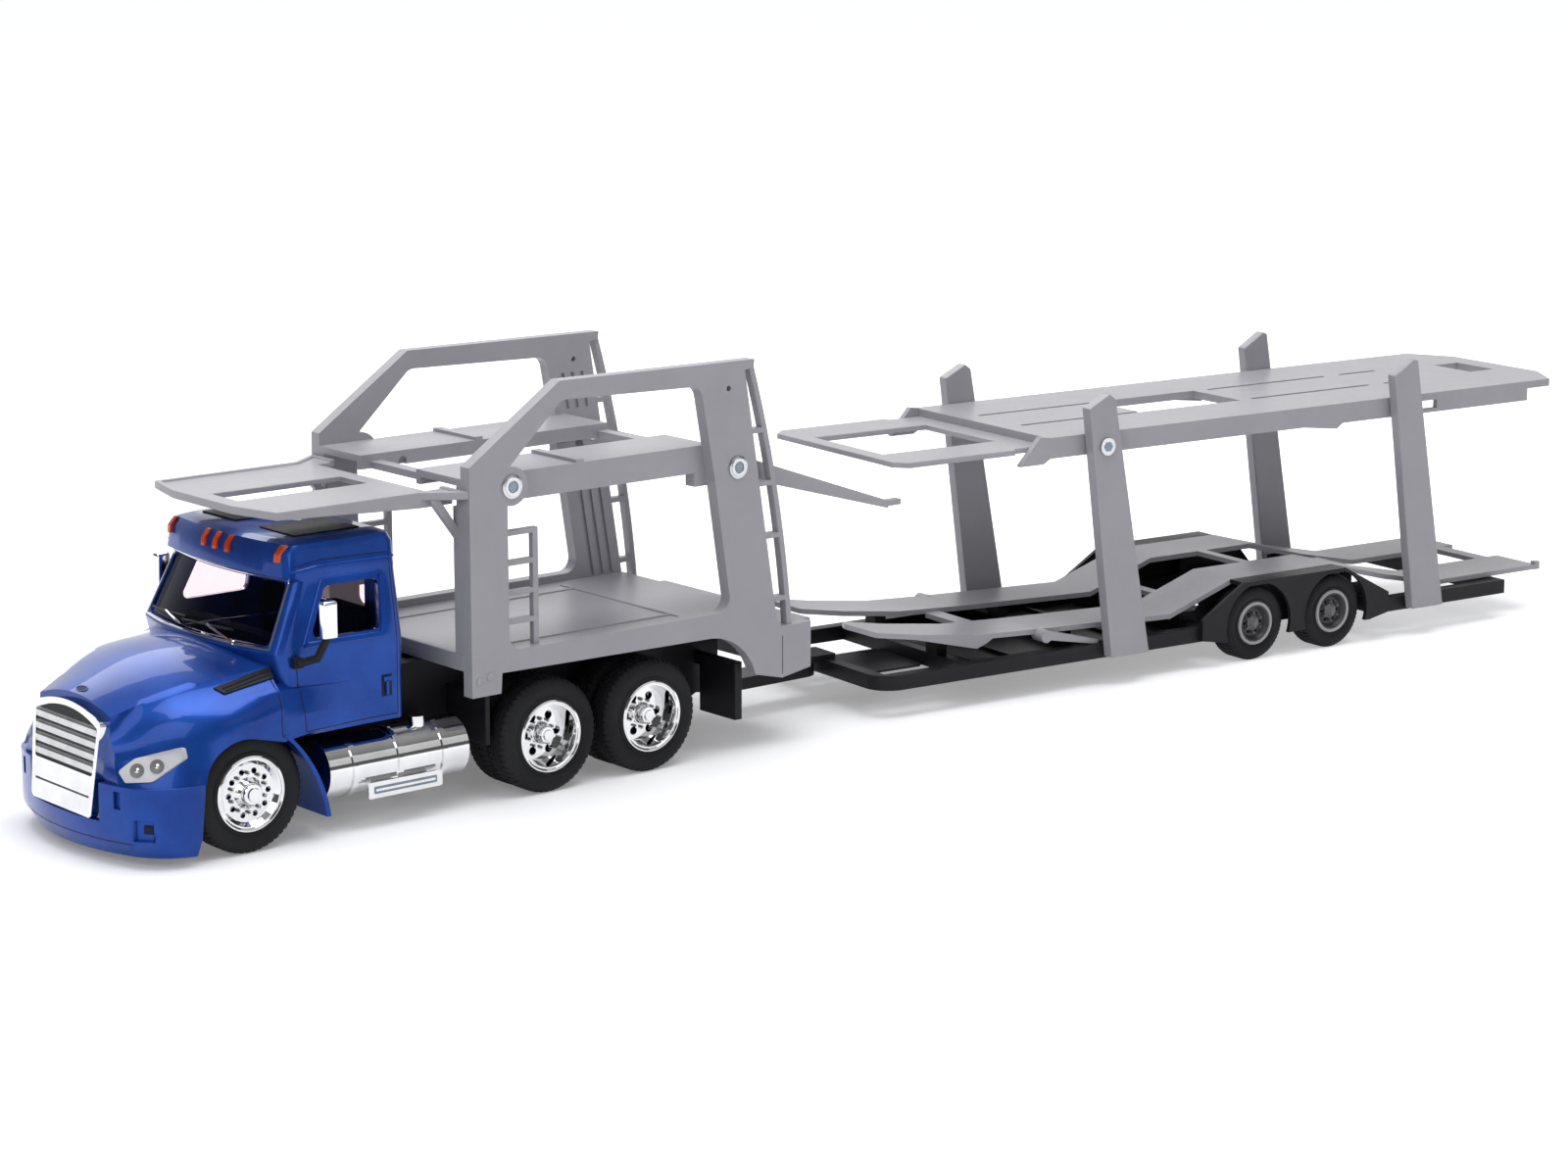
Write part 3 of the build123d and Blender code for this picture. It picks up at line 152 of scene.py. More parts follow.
def plastic_material(name, low, high, rough, grain, bump, shine):
    """Moulded plastic or rubber: slight colour drift, fine grain and uneven gloss."""
    material, tree_nodes, links, shader = new_material(name)
    set_values(shader, Metallic=0.0, IOR=1.48, Specular_IOR_Level=shine)
    drift = texture(tree_nodes, links, "ShaderNodeTexNoise", drift_scale, Detail=4.0, Roughness=0.6)
    links.new(ramp(tree_nodes, links, drift.outputs["Fac"], low, high), shader.inputs["Base Color"])
    fine = texture(tree_nodes, links, "ShaderNodeTexNoise", grain, Detail=5.0, Roughness=0.55)
    gloss = spread(tree_nodes, links, fine.outputs["Fac"], rough - gloss_drift, rough + gloss_drift)
    links.new(gloss, shader.inputs["Roughness"])
    add_bump(tree_nodes, links, shader, fine.outputs["Fac"], bump, grain_depth)
    return material


def metal_material(name, low, high, rough, ripple):
    """Plated or plain metal with a faint ripple in its surface."""
    material, tree_nodes, links, shader = new_material(name)
    set_values(shader, Metallic=1.0)
    cloud = texture(tree_nodes, links, "ShaderNodeTexNoise", metal_cloud_scale, Detail=3.0)
    links.new(ramp(tree_nodes, links, cloud.outputs["Fac"], low, high), shader.inputs["Base Color"])
    low_gloss, high_gloss = rough * metal_gloss_low, rough * metal_gloss_high
    gloss = spread(tree_nodes, links, cloud.outputs["Fac"], low_gloss, high_gloss)
    links.new(gloss, shader.inputs["Roughness"])
    add_bump(tree_nodes, links, shader, cloud.outputs["Fac"], ripple, ripple_depth)
    return material


def lens_material(name, low, high, rough, clear, ribs, bend):
    """Clear or tinted moulding, with ribs in it where it is a lens."""
    material, tree_nodes, links, shader = new_material(name)
    set_values(shader, Metallic=0.0, IOR=bend, Transmission_Weight=clear, Roughness=rough)
    cloud = texture(tree_nodes, links, "ShaderNodeTexNoise", lens_cloud_scale, Detail=2.0)
    links.new(ramp(tree_nodes, links, cloud.outputs["Fac"], low, high), shader.inputs["Base Color"])
    wave = texture(tree_nodes, links, "ShaderNodeTexWave", lens_rib_scale)
    add_bump(tree_nodes, links, shader, wave.outputs["Fac"], ribs, rib_depth)
    return material


plastics = [
    # name, darker and lighter colour, roughness, grain scale, bump, shine
    # recess_shade_blue: near-black blue as painted shade in panel gaps, door and hood recesses and the
    # bumper's line, and on the fog lamps in the bumper's recesses
    ("recess_shade_blue", (0.002, 0.005, 0.030), (0.003, 0.008, 0.045), 0.50, 900.0, 0.10, 0.3),
    ("cabin_dark", (0.003, 0.008, 0.028), (0.005, 0.012, 0.038), 0.80, 900.0, 0.20, 0.02),
    ("black_plastic", (0.009, 0.009, 0.011), (0.016, 0.016, 0.020), 0.42, 900.0, 0.25, 0.2),
    ("deck_plastic", (0.325, 0.318, 0.346), (0.355, 0.348, 0.376), 0.36, 700.0, 0.25, 0.5),
    ("tyre_rubber", (0.010, 0.010, 0.012), (0.018, 0.018, 0.020), 0.62, 1500.0, 0.50, 0.2),
    ("rim_grey", (0.030, 0.030, 0.033), (0.045, 0.045, 0.048), 0.38, 800.0, 0.15, 0.4),
    ("hub_grey", (0.130, 0.130, 0.135), (0.170, 0.170, 0.175), 0.38, 800.0, 0.15, 0.4),
    ("lip_grey", (0.340, 0.330, 0.320), (0.420, 0.410, 0.400), 0.34, 800.0, 0.15, 0.5),
    ("lamp_lens", (0.400, 0.410, 0.430), (0.540, 0.550, 0.580), 0.18, 800.0, 0.10, 0.5),
]
metals = [
    # name, darker and lighter colour, roughness, ripple
    ("chrome_plate", (0.72, 0.72, 0.73), (0.82, 0.82, 0.83), 0.06, 0.05),
    ("screw_steel", (0.50, 0.51, 0.52), (0.66, 0.67, 0.68), 0.24, 0.10),
    # socket_shade_steel: darker steel as painted shade in screw sockets and step slots
    ("socket_shade_steel", (0.16, 0.20, 0.24), (0.24, 0.29, 0.34), 0.30, 0.10),
]
materials = {row[0]: plastic_material(*row) for row in plastics}
materials.update({row[0]: metal_material(*row) for row in metals})
paint_deep, paint_bright = (0.006, 0.034, 0.215), (0.013, 0.080, 0.410)
materials["cab_paint"] = paint_material("cab_paint", paint_deep, paint_bright)
lenses = [
    # name, darker and lighter colour, roughness, clearness, ribs, refraction
    ("glazing", (0.92, 0.82, 0.83), (0.95, 0.85, 0.86), 0.0, 1.0, 0.0, 1.10),
    ("marker_lens", (0.62, 0.05, 0.01), (0.85, 0.10, 0.02), 0.2, 0.3, 0.15, 1.49),
]
materials.update({row[0]: lens_material(*row) for row in lenses})


# Radius that counts as on the axis, cosine that counts as parallel, crease angle in degrees
on_axis, near_parallel, piece_crease = 1e-6, 0.95, 35.0


# Shapes, gathered in millimetres
class Shape:
    """Vertices and faces of one piece."""

    def __init__(self):
        self.vertices = []
        self.faces = []

    def add(self, vertices, faces, place=Matrix()):
        """Take in more vertices and faces, moved by a matrix."""
        base = len(self.vertices)
        self.vertices += [place @ Vector(vertex) for vertex in vertices]
        self.faces += [[base + index for index in face] for face in faces]


def add_piece(name, shape, body, slot, material=None, turn=Matrix(), sharp=piece_crease):
    """Mesh object from a shape, riding on a body."""
    mesh = bpy.data.meshes.new(name)
    mesh.from_pydata([turn @ vertex * MM for vertex in shape.vertices], [], shape.faces)
    mesh.validate()
    mesh.materials.append(materials[material or slot])
    mesh.shade_smooth()
    mesh.set_sharp_from_angle(angle=math.radians(sharp))
    piece = bpy.data.objects.new(name, mesh)
    bpy.context.scene.collection.objects.link(piece)
    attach(piece, body)
    return piece


def lathe(profile, steps):
    """Closed turned form from (radius, height) points round Z; the ends meet on the axis."""
    vertices, rings = [], []
    for radius, height in profile:
        if radius < on_axis:
            rings.append([len(vertices)])
            vertices.append((0.0, 0.0, height))
            continue
        rings.append(range(len(vertices), len(vertices) + steps))
        angles = [2 * math.pi * step / steps for step in range(steps)]
        vertices += [(radius * math.cos(angle), radius * math.sin(angle), height) for angle in angles]
    faces = []
    for lower, upper in zip(rings, rings[1:]):
        for step in range(steps):
            after = (step + 1) % steps
            corners = [lower[step % len(lower)], lower[after % len(lower)]]
            corners += [upper[after % len(upper)], upper[step % len(upper)]]
            faces.append(list(dict.fromkeys(corners)))
    return vertices, faces


def ring_lathe(profile, steps):
    """Turned ring from a closed (radius, height) outline round Z."""
    count = len(profile)
    vertices = []
    for step in range(steps):
        angle = 2 * math.pi * step / steps
        across, up = math.cos(angle), math.sin(angle)
        vertices += [(radius * across, radius * up, height) for radius, height in profile]
    faces = []
    for step in range(steps):
        here, there = step * count, (step + 1) % steps * count
        for index in range(count):
            after = (index + 1) % count
            faces.append((here + index, there + index, there + after, here + after))
    return vertices, faces


def prism(outline, low, high):
    """Closed prism of an (x, y) outline between two heights."""
    count = len(outline)
    vertices = [(x, y, low) for x, y in outline] + [(x, y, high) for x, y in outline]
    faces = [list(reversed(range(count))), list(range(count, 2 * count))]
    faces += [(i, (i + 1) % count, count + (i + 1) % count, count + i) for i in range(count)]
    return vertices, faces


def sweep(path, normals, section):
    """Closed bar along a path; the section's (across, out) points stand on each point's normal."""
    count = len(section)
    vertices = []
    for index, (point, normal) in enumerate(zip(path, normals)):
        along = (path[min(index + 1, len(path) - 1)] - path[max(index - 1, 0)]).normalized()
        across = along.cross(normal).normalized()
        vertices += [point + across * a + normal * b for a, b in section]
    faces = [list(range(count)), list(reversed(range(len(vertices) - count, len(vertices))))]
    for index in range(len(path) - 1):
        here, there = index * count, (index + 1) * count
        for corner in range(count):
            after = (corner + 1) % count
            faces.append((here + corner, there + corner, there + after, here + after))
    return vertices, faces


def disc_points(radius, sides, squash=1.0):
    """Outline of a round or oval disc."""
    angles = [2 * math.pi * side / sides for side in range(sides)]
    return [(radius * math.cos(angle), radius * squash * math.sin(angle)) for angle in angles]


def standing_on(point, normal, along=Vector((1, 0, 0))):
    """Matrix whose Z is the normal at a point and whose X lies near the given direction."""
    z = normal.normalized()
    if abs(z.dot(along)) > near_parallel:
        along = Vector((0, 1, 0))
    x = (along - z * along.dot(z)).normalized()
    turn = Matrix((x, z.cross(x), z)).transposed().to_4x4()
    return Matrix.Translation(point) @ turn


# Points on the model's own skin
def skin_of(*names):
    """Search tree over some CAD nodes, in millimetres."""
    vertices, faces = [], []
    for name in names:
        mesh = nodes[name].data
        base = len(vertices)
        vertices += [vertex.co / MM for vertex in mesh.vertices]
        faces += [[base + index for index in face.vertices] for face in mesh.polygons]
    return BVHTree.FromPolygons(vertices, faces)


def cast(skin, start, direction):
    """Point and outward normal where a ray meets a skin."""
    point, normal, _, _ = skin.ray_cast(Vector(start), Vector(direction))
    if point is None:
        return None
    return point, (normal if normal.dot(Vector(direction)) < 0 else -normal)


def spaced(points, spacing):
    """Points along a polyline, closer together."""
    result = [Vector(points[0])]
    for start, end in zip(points, points[1:]):
        start, end = Vector(start), Vector(end)
        steps = max(1, round((end - start).length / spacing))
        result += [start.lerp(end, step / steps) for step in range(1, steps + 1)]
    return result


# Where rays towards the skin start, outside the model
side_start, front_start, top_start = 60.0, 220.0, 120.0


def from_side(skin, x, z, side):
    """Point and normal of a skin seen from one side."""
    return cast(skin, (x, side * side_start, z), (0, -side, 0))


def from_front(skin, y, z):
    """Point and normal of a skin seen from the front."""
    return cast(skin, (front_start, y, z), (-1, 0, 0))


def from_top(skin, x, y):
    """Point and normal of a skin seen from above."""
    return cast(skin, (x, y, top_start), (0, 0, -1))


def drape(skin, points, view, side, spacing):
    """Path and normals of a polyline laid on a skin, seen from the side, the front or above."""
    path, normals = [], []
    for first, second in spaced(points, spacing):
        if view == "side":
            hit = from_side(skin, first, second, side)
        elif view == "front":
            hit = from_front(skin, first, second)
        else:
            hit = from_top(skin, first, second)
        if hit:
            path.append(hit[0])
            normals.append(hit[1])
    return path, normals


def bar_section(width, low, high):
    """Section of a raised strip with eased top edges."""
    half, ease = width / 2, min(width, high - low) / 3
    top = [(half, high - ease), (half - ease, high), (ease - half, high), (-half, high - ease)]
    return [(-half, low), (half, low), *top]


strips = {
    # kind of strip: width, foot under the skin, top over it, spacing of its points
    "seam": (0.26, -0.1, 0.04, 0.8),
    "window_frame": (1.1, -0.2, 0.3, 0.6),
    "windscreen_edge": (0.5, -0.2, 0.22, 0.6),
    "drip_rail": (0.5, -0.2, 0.35, 0.6),
    "wiper_arm": (0.45, 0.25, 0.75, 2.0),
    "wiper_blade": (0.4, 0.02, 0.6, 2.0),
    "vent_rib": (0.3, -0.1, 0.22, 1.0),
    "bed_rib": (0.7, -0.1, 0.28, 4.0),
    "beam_seam": (0.25, -0.1, 0.03, 0.8),
    "bumper_line": (0.3, -0.1, 0.04, 0.8),
}


def lay_strip(shape, skin, points, kind, view, side=1):
    """Add a strip of one kind along a polyline laid on a skin."""
    width, low, high, spacing = strips[kind]
    path, normals = drape(skin, points, view, side, spacing)
    if len(path) > 1:
        shape.add(*sweep(path, normals, bar_section(width, low, high)))


def rounded_block(length, width, radius, corners=4):
    """Outline of a rectangle with rounded corners, along x."""
    outline = []
    for quarter, (x, y) in enumerate(((1, 1), (-1, 1), (-1, -1), (1, -1))):
        centre_x, centre_y = x * (length / 2 - radius), y * (width / 2 - radius)
        for step in range(corners + 1):
            turn = math.pi / 2 * (quarter + step / corners)
            outline.append((centre_x + radius * math.cos(turn), centre_y + radius * math.sin(turn)))
    return outline


# CAD nodes keep their form and get their materials; the listed ones get eased edges
edge_round = {
    # node: width of the rounding
    "side_frame_left": 0.45,
    "side_frame_right": 0.45,
    "upper_deck": 0.25,
    "header": 0.25,
    "lower_deck": 0.3,
    "rear_flap": 0.25,
    "trailer_upper_deck": 0.3,
    "trailer_deck_extension": 0.25,
    "trailer_lower_deck": 0.2,
    "trailer_frame": 0.25,
    "trailer_fenders": 0.2,
    "trailer_post_front_left": 0.4,
    "trailer_post_front_right": 0.4,
    "trailer_post_rear_left": 0.4,
    "trailer_post_rear_right": 0.4,
    "truck_chassis": 0.2,
    "mud_flaps": 0.2,
    "fuel_tanks": 0.12,
    "bumper": 0.15,
    "grille": 0.1,
    "roof_markers": 0.15,
    "roof_panels": 0.08,
    "deck_screws": 0.1,
    "post_screws": 0.1,
    "cab_interior": 0.3,
}
node_material = {
    # node: material in place of its slot's own
    "trailer_axle_1_rims": "rim_grey",
    "trailer_axle_2_rims": "rim_grey",
    "cab_interior": "cabin_dark",
}
weld_distance = 0.005
flat_angle = math.radians(0.4)
crease_angle = math.radians(32.0)
bevel_segments = 2


def dress_nodes():
    """Materials and smooth shading for every CAD node; eased edges for the listed ones, split creases
    for the rest.
    """
    for name, piece in nodes.items():
        mesh = piece.data
        mesh.materials.clear()
        mesh.materials.append(materials[node_material.get(name, slot_of[name])])
        if "custom_normal" in mesh.attributes:
            mesh.attributes.remove(mesh.attributes["custom_normal"])
        mesh.shade_smooth()
        weld = piece.modifiers.new("weld", "WELD")
        weld.merge_threshold = weld_distance * MM
        if name in edge_round:
            flats = piece.modifiers.new("flats", "DECIMATE")
            flats.decimate_type = "DISSOLVE"
            flats.angle_limit = flat_angle
            bevel = piece.modifiers.new("round", "BEVEL")
            bevel.width = edge_round[name] * MM
            bevel.segments = bevel_segments
            bevel.limit_method = "ANGLE"
            bevel.angle_limit = crease_angle
            bevel.harden_normals = True
            bevel.use_clamp_overlap = True
        else:
            split = piece.modifiers.new("crease", "EDGE_SPLIT")
            split.split_angle = crease_angle


# Tyres
tread_lugs = 54
lug_depth = 0.2
groove_half_width = 0.22
groove_depth = 0.4
lug_steps = [
    # part of a lug's pitch, depth of the cross cut there
    (0.0, 0.0),
    (0.56, 0.0),
    (0.64, 1.0),
    (0.92, 1.0),
]
bead_points = [
    # out from the bore, in from the side face
    (0.0, 0.35),
    (0.35, 0.08),
    (0.75, 0.02),
    (0.95, 0.22),
    (1.5, 0.05),
]
wall_bulge, wall_tuck = 0.3, 0.12
shoulder_points = [
    # parts of the shoulder in from the tread and in from the side face, part of the cross cut
    (0.55, 0.32, 0.5),
    (0.12, 0.75, 1.0),
    (0.0, 1.0, 1.0),
]
groove_places = [
    # part of the tread's half width, part of the cross cut at the groove's outer edge
    (0.62, 1.0),
    (0.2, 0.0),
]
groove_floor, inner_cut = 0.6, 0.4
tyre_crease = 30.0


def tyre_section(radius, bore, width, shoulder):
    """Section of a tyre as (radius, height, cross cut): beads, bulged walls and grooved tread."""
    half = width / 2
    upper = [(bore + out, half - tuck, 0.0) for out, tuck in bead_points]
    upper.append(((bore + radius) / 2 + wall_bulge, half, 0.0))
    upper.append((radius - shoulder, half - wall_tuck, 0.0))
    for down, inward, cut in shoulder_points:
        upper.append((radius - down * shoulder, half - inward * shoulder, cut * lug_depth))
    floor_half_width = groove_floor * groove_half_width
    for place, cut in groove_places:
        middle = (half - shoulder) * place
        upper += [
            (radius, middle + groove_half_width, cut * lug_depth),
            (radius - groove_depth, middle + floor_half_width, 0.0),
            (radius - groove_depth, middle - floor_half_width, 0.0),
            (radius, middle - groove_half_width, inner_cut * lug_depth),
        ]
    return upper + [(r, -h, cut) for r, h, cut in reversed(upper)]


def tyre(radius, bore, width, shoulder):
    """Ring with lugs round Z, centred on its middle plane."""
    section = tyre_section(radius, bore, width, shoulder)
    count = len(section)
    vertices, steps = [], tread_lugs * len(lug_steps)
    for lug in range(tread_lugs):
        for part, cut in lug_steps:
            angle = 2 * math.pi * (lug + part) / tread_lugs
            for r, h, depth in section:
                r -= depth * cut
                vertices.append((r * math.cos(angle), r * math.sin(angle), h))
    faces = []
    for step in range(steps):
        here, there = step * count, (step + 1) % steps * count
        for index in range(count):
            after = (index + 1) % count
            faces.append((here + index, here + after, there + after, there + index))
    return vertices, faces


axles = [
    # body, node stem, x, z, tyre radius, bore, width, shoulder, outer faces, turned with the trailer
    ("front_axle", "front", 161.3, 12.1, 12.1, 7.45, 7.0, 1.2, (26.2,), False),
    ("drive_axle_1", "drive_axle_1", 89.6, 12.1, 12.1, 7.45, 6.4, 1.2, (27.2, 20.0), False),
    ("drive_axle_2", "drive_axle_2", 63.2, 12.1, 12.1, 7.45, 6.4, 1.2, (27.2, 20.0), False),
    ("trailer_axle_1", "trailer_axle_1", -114.4, 9.0, 9.0, 4.95, 6.6, 1.0, (26.0,), True),
    ("trailer_axle_2", "trailer_axle_2", -138.9, 9.0, 9.0, 4.95, 6.6, 1.0, (26.0,), True),
]


def wheel_place(x, y, z, side):
    """Matrix at a wheel's centre whose Z points outward."""
    outward = Vector((0, side, 0))
    return standing_on(Vector((x, y * side, z)), outward)


def build_tyres():
    """Treaded tyres in place of the plain rings."""
    for body, stem, x, z, radius, bore, width, shoulder, faces, turned in axles:
        shape = Shape()
        vertices, quads = tyre(radius, bore, width, shoulder)
        for face in faces:
            for side in (1, -1):
                shape.add(vertices, quads, wheel_place(x, face - width / 2, z, side))
        turn = trailer_turn if turned else Matrix()
        piece = add_piece(f"{stem}_treads", shape, body, "tyre_rubber", turn=turn, sharp=tyre_crease)
        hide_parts(f"{stem}_tyres")


hub_tables = {
    # node stem: outer face, disc depth, nut count, nut ring, nut radius, hub radius, hub height, rim lip
    "front": (26.2, 0.9, 10, 3.95, 0.5, 2.3, 2.3, 7.35),
    "drive_axle_1": (27.2, 3.6, 10, 3.05, 0.42, 1.9, 2.9, 7.35),
    "drive_axle_2": (27.2, 3.6, 10, 3.05, 0.42, 1.9, 2.9, 7.35),
    "trailer_axle_1": (26.0, 1.2, 6, 2.3, 0.35, 1.4, 1.4, 4.85),
    "trailer_axle_2": (26.0, 1.2, 6, 2.3, 0.35, 1.4, 1.4, 4.85),
}
nut_sides, nut_foot, nut_height = 6, -0.3, 0.75
bolt_sides, bolt_part, bolt_sink, bolt_rise = 8, 0.6, 0.1, 0.25
hub_steps = 28
hub_points = [
    # part of the hub's radius, part of its height, height added; from the flange to the crown
    (0.0, 0.0, -0.5),
    (1.25, 0.0, -0.5),
    (1.25, 0.0, 0.45),
    (1.05, 0.0, 0.55),
    (1.0, 1.0, -0.8),
    (0.85, 1.0, -0.35),
    (0.62, 1.0, -0.3),
    (0.55, 1.0, 0.0),
    (0.0, 1.0, 0.06),
]
lip_steps, lip_sides, lip_round, lip_inset, lip_depth = 56, 8, 0.42, 0.05, 0.12


def lip_profile(lip):
    """Round section of a rolled rim lip."""
    turns = [2 * math.pi * side / lip_sides for side in range(lip_sides)]
    middle = lip - lip_inset
    return [(middle + lip_round * math.cos(turn), lip_round * math.sin(turn)) for turn in turns]


def build_hubs():
    """Wheel nuts, hub caps and rolled rim lips."""
    for body, stem, x, z, *_, turned in axles:
        face, depth, count, ring, nut_radius, hub, hub_height, lip = hub_tables[stem]
        shape, lips = Shape(), Shape()
        nut = prism(disc_points(nut_radius, nut_sides), nut_foot, nut_height)
        bolt_end = disc_points(nut_radius * bolt_part, bolt_sides)
        bolt = prism(bolt_end, nut_height - bolt_sink, nut_height + bolt_rise)
        cap = [(hub * part, hub_height * rise + lift) for part, rise, lift in hub_points]
        for side in (1, -1):
            disc = wheel_place(x, face - depth, z, side)
            for index in range(count):
                angle = 2 * math.pi * (index + 0.5) / count
                place = Matrix.Translation((ring * math.cos(angle), ring * math.sin(angle), 0))
                shape.add(*nut, disc @ place)
                shape.add(*bolt, disc @ place)
            shape.add(*lathe(cap, hub_steps), disc)
            lip_place = wheel_place(x, face - lip_depth, z, side)
            lips.add(*ring_lathe(lip_profile(lip), lip_steps), lip_place)
        turn = trailer_turn if turned else Matrix()
        slot = slot_of[f"{stem}_rims"]
        add_piece(f"{stem}_hubs", shape, body, slot, "hub_grey" if turned else "chrome_plate", turn)
        add_piece(f"{stem}_rim_lips", lips, body, slot, "lip_grey" if turned else "chrome_plate", turn)


# Cab details
side_seams = [
    # (x, z) points seen from the side
    [(154.6, 35.6), (154.5, 31.0), (154.4, 26.0), (154.4, 22.4)],
    [(149.9, 38.6), (149.4, 33.0), (148.5, 22.4)],
    [(125.9, 55.0), (125.9, 22.6)],
    [(148.4, 22.5), (125.9, 22.5)],
    [(147.8, 54.6), (142.0, 55.4), (125.9, 55.0)],
]


def build_cab_seams():
    """Panel gaps of hood, doors and roof as fine dark inlays on the skin: painted shade of the gaps."""
    skin = skin_of("cab_shell")
    shape = Shape()
    for side in (1, -1):
        for line in side_seams:
            lay_strip(shape, skin, line, "seam", "side", side)
    add_piece("cab_seams", shape, "truck", "cab_paint", "recess_shade_blue")


# Side windows and drip rails as (x, z), windscreen as (y, z)
window_outline = [(147.4, 39.4), (129.0, 39.2), (128.0, 51.2), (141.9, 51.2), (147.4, 39.4)]
drip_line = [(148.6, 53.6), (143.0, 54.2), (124.6, 54.0)]
screen_outline = [(-22.7, 38.9), (22.7, 38.9), (21.2, 51.7), (-21.2, 51.7), (-22.7, 38.9)]


def build_window_trim():
    """Raised frames round the side windows, rails over them and a bright edge round the windscreen."""
    skin = skin_of("cab_shell")
    frames, edge, drips = Shape(), Shape(), Shape()
    lay_strip(edge, skin, screen_outline, "windscreen_edge", "front")
    for side in (1, -1):
        lay_strip(frames, skin, window_outline, "window_frame", "side", side)
        lay_strip(drips, skin, drip_line, "drip_rail", "side", side)
    add_piece("window_frames", frames, "truck", "cab_paint")
    add_piece("windscreen_edge", edge, "truck", "chrome_plate")
    add_piece("drip_rails", drips, "truck", "cab_paint")


handle_place = (128.5, 28.6)
handle_shade_patch = [(-1.2, -2.2), (1.2, -2.2), (1.2, 2.2), (-1.2, 2.2)]
handle_parts = [
    # outlines of the grip and of the bar that meets it
    [(-0.9, 0.9), (0.9, 0.9), (0.9, 1.8), (-0.9, 1.8)],
    [(-0.25, -1.9), (0.35, -1.9), (0.35, 1.2), (-0.25, 1.2)],
]
handle_recess_span, handle_span = (-0.2, 0.05), (-0.1, 0.5)


def build_door_handles():
    """Pull handles on both doors, each over a dark patch as painted shade of its small recess."""
    skin = skin_of("cab_shell")
    recesses, handles = Shape(), Shape()
    for side in (1, -1):
        place = standing_on(*from_side(skin, *handle_place, side))
        recesses.add(*prism(handle_shade_patch, *handle_recess_span), place)
        for outline in handle_parts:
            flipped = [(x, -y * side) for x, y in outline]
            handles.add(*prism(flipped if side < 0 else flipped[::-1], *handle_span), place)
    # Dark patches as painted shade of the handle recesses
    add_piece("handle_recesses", recesses, "truck", "cab_paint", "recess_shade_blue")
    add_piece("door_handles", handles, "truck", "cab_paint")


wipers = [
    # pivot (y, z), arm's far end (y, z), blade's ends (y, z)
    ((-3.2, 39.2), (-13.5, 40.8), [(-21.0, 40.3), (-5.0, 41.2)]),
    ((13.2, 39.0), (3.4, 41.0), [(-5.6, 40.6), (11.6, 41.2)]),
]
wiper_knob = [(0.0, -0.3), (0.7, -0.3), (0.7, 0.6), (0.45, 0.9), (0.0, 0.95)]
knob_steps = 14


def build_wipers():
    """Two wipers parked at the foot of the windscreen."""
    glass = skin_of("cab_glazing", "cab_shell")
    arms, blades = Shape(), Shape()
    for pivot, far_end, blade in wipers:
        lay_strip(arms, glass, [pivot, far_end], "wiper_arm", "front")
        lay_strip(blades, glass, blade, "wiper_blade", "front")
        arms.add(*lathe(wiper_knob, knob_steps), standing_on(*from_front(glass, *pivot)))
    add_piece("wiper_arms", arms, "truck", "chrome_plate")
    add_piece("wiper_blades", blades, "truck", "black_plastic")


bowl_places = [(20.6, 19.3), (23.0, 20.1)]
bowl_profile = [(1.25, -0.1), (1.4, 0.12), (1.3, 0.22), (1.1, 0.17), (0.45, 0.03), (0.45, -0.1)]
bulb_profile = [(0.0, -0.1), (0.46, -0.1), (0.46, 0.08), (0.3, 0.2), (0.0, 0.24)]
bowl_steps, bulb_steps = 24, 20


def build_headlight_bowls():
    """Two round reflectors in each headlight, with their bulbs."""
    skin = skin_of("headlights")
    bowls, bulbs = Shape(), Shape()
    for side in (1, -1):
        for y, z in bowl_places:
            hit = from_front(skin, side * y, z)
            if hit:
                place = standing_on(*hit)
                bowls.add(*ring_lathe(bowl_profile, bowl_steps), place)
                bulbs.add(*lathe(bulb_profile, bulb_steps), place)
    add_piece("headlight_bowls", bowls, "truck", "chrome_plate", "hub_grey")
    add_piece("headlight_bulbs", bulbs, "truck", "chrome_plate")


hood_recess_x = 182.6
# radius, sides and stretch across the hood
recess_shade_disc, recess_ring = (0.75, 24, 2.2), (0.85, 32, 2.1)
recess_span = (-0.2, 0.04)
recess_rim = (0.25, -0.15, 0.12)


def build_hood_recess():
    """Small oval recess on the hood's front: a dark disc as painted shade of the recess, with a rim
    round it.
    """
    point, normal = from_top(skin_of("cab_shell"), hood_recess_x, 0.0)
    place = standing_on(point, normal)
    recess, rim = Shape(), Shape()
    recess.add(*prism(disc_points(*recess_shade_disc), *recess_span), place)
    path = [place @ Vector((x, y, 0.0)) for x, y in disc_points(*recess_ring)]
    path.append(path[0])
    rim.add(*sweep(path, [normal] * len(path), bar_section(*recess_rim)))
    # Dark disc as painted shade of the recess
    add_piece("hood_recess", recess, "truck", "cab_paint", "recess_shade_blue")
    add_piece("hood_recess_rim", rim, "truck", "cab_paint")


vent_rib_lines = [
    # (x, z) ends seen from the side
    [(164.6, 32.9), (154.3, 35.1)],
    [(164.2, 32.45), (154.3, 34.4)],
]


def build_vent_ribs():
    """Two ribs along each hood vent."""
    skin = skin_of("hood_vents")
    ribs = Shape()
    for side in (1, -1):
        for line in vent_rib_lines:
            lay_strip(ribs, skin, line, "vent_rib", "side", side)
    add_piece("vent_ribs", ribs, "truck", "black_plastic")


def grille_point(across, height, out):
    """Point on the leaning grille: across the truck, up along it and out of it."""
    up = Vector((-math.sin(grille_lean), 0, math.cos(grille_lean)))
    outward = Vector((math.cos(grille_lean), 0, math.sin(grille_lean)))
    return grille_foot + Vector((0, across, 0)) + up * height + outward * out


grille_low, grille_high, grille_crown = 8.15, 17.6, 19.95
grille_half_low, grille_half_high = 10.9, 11.75
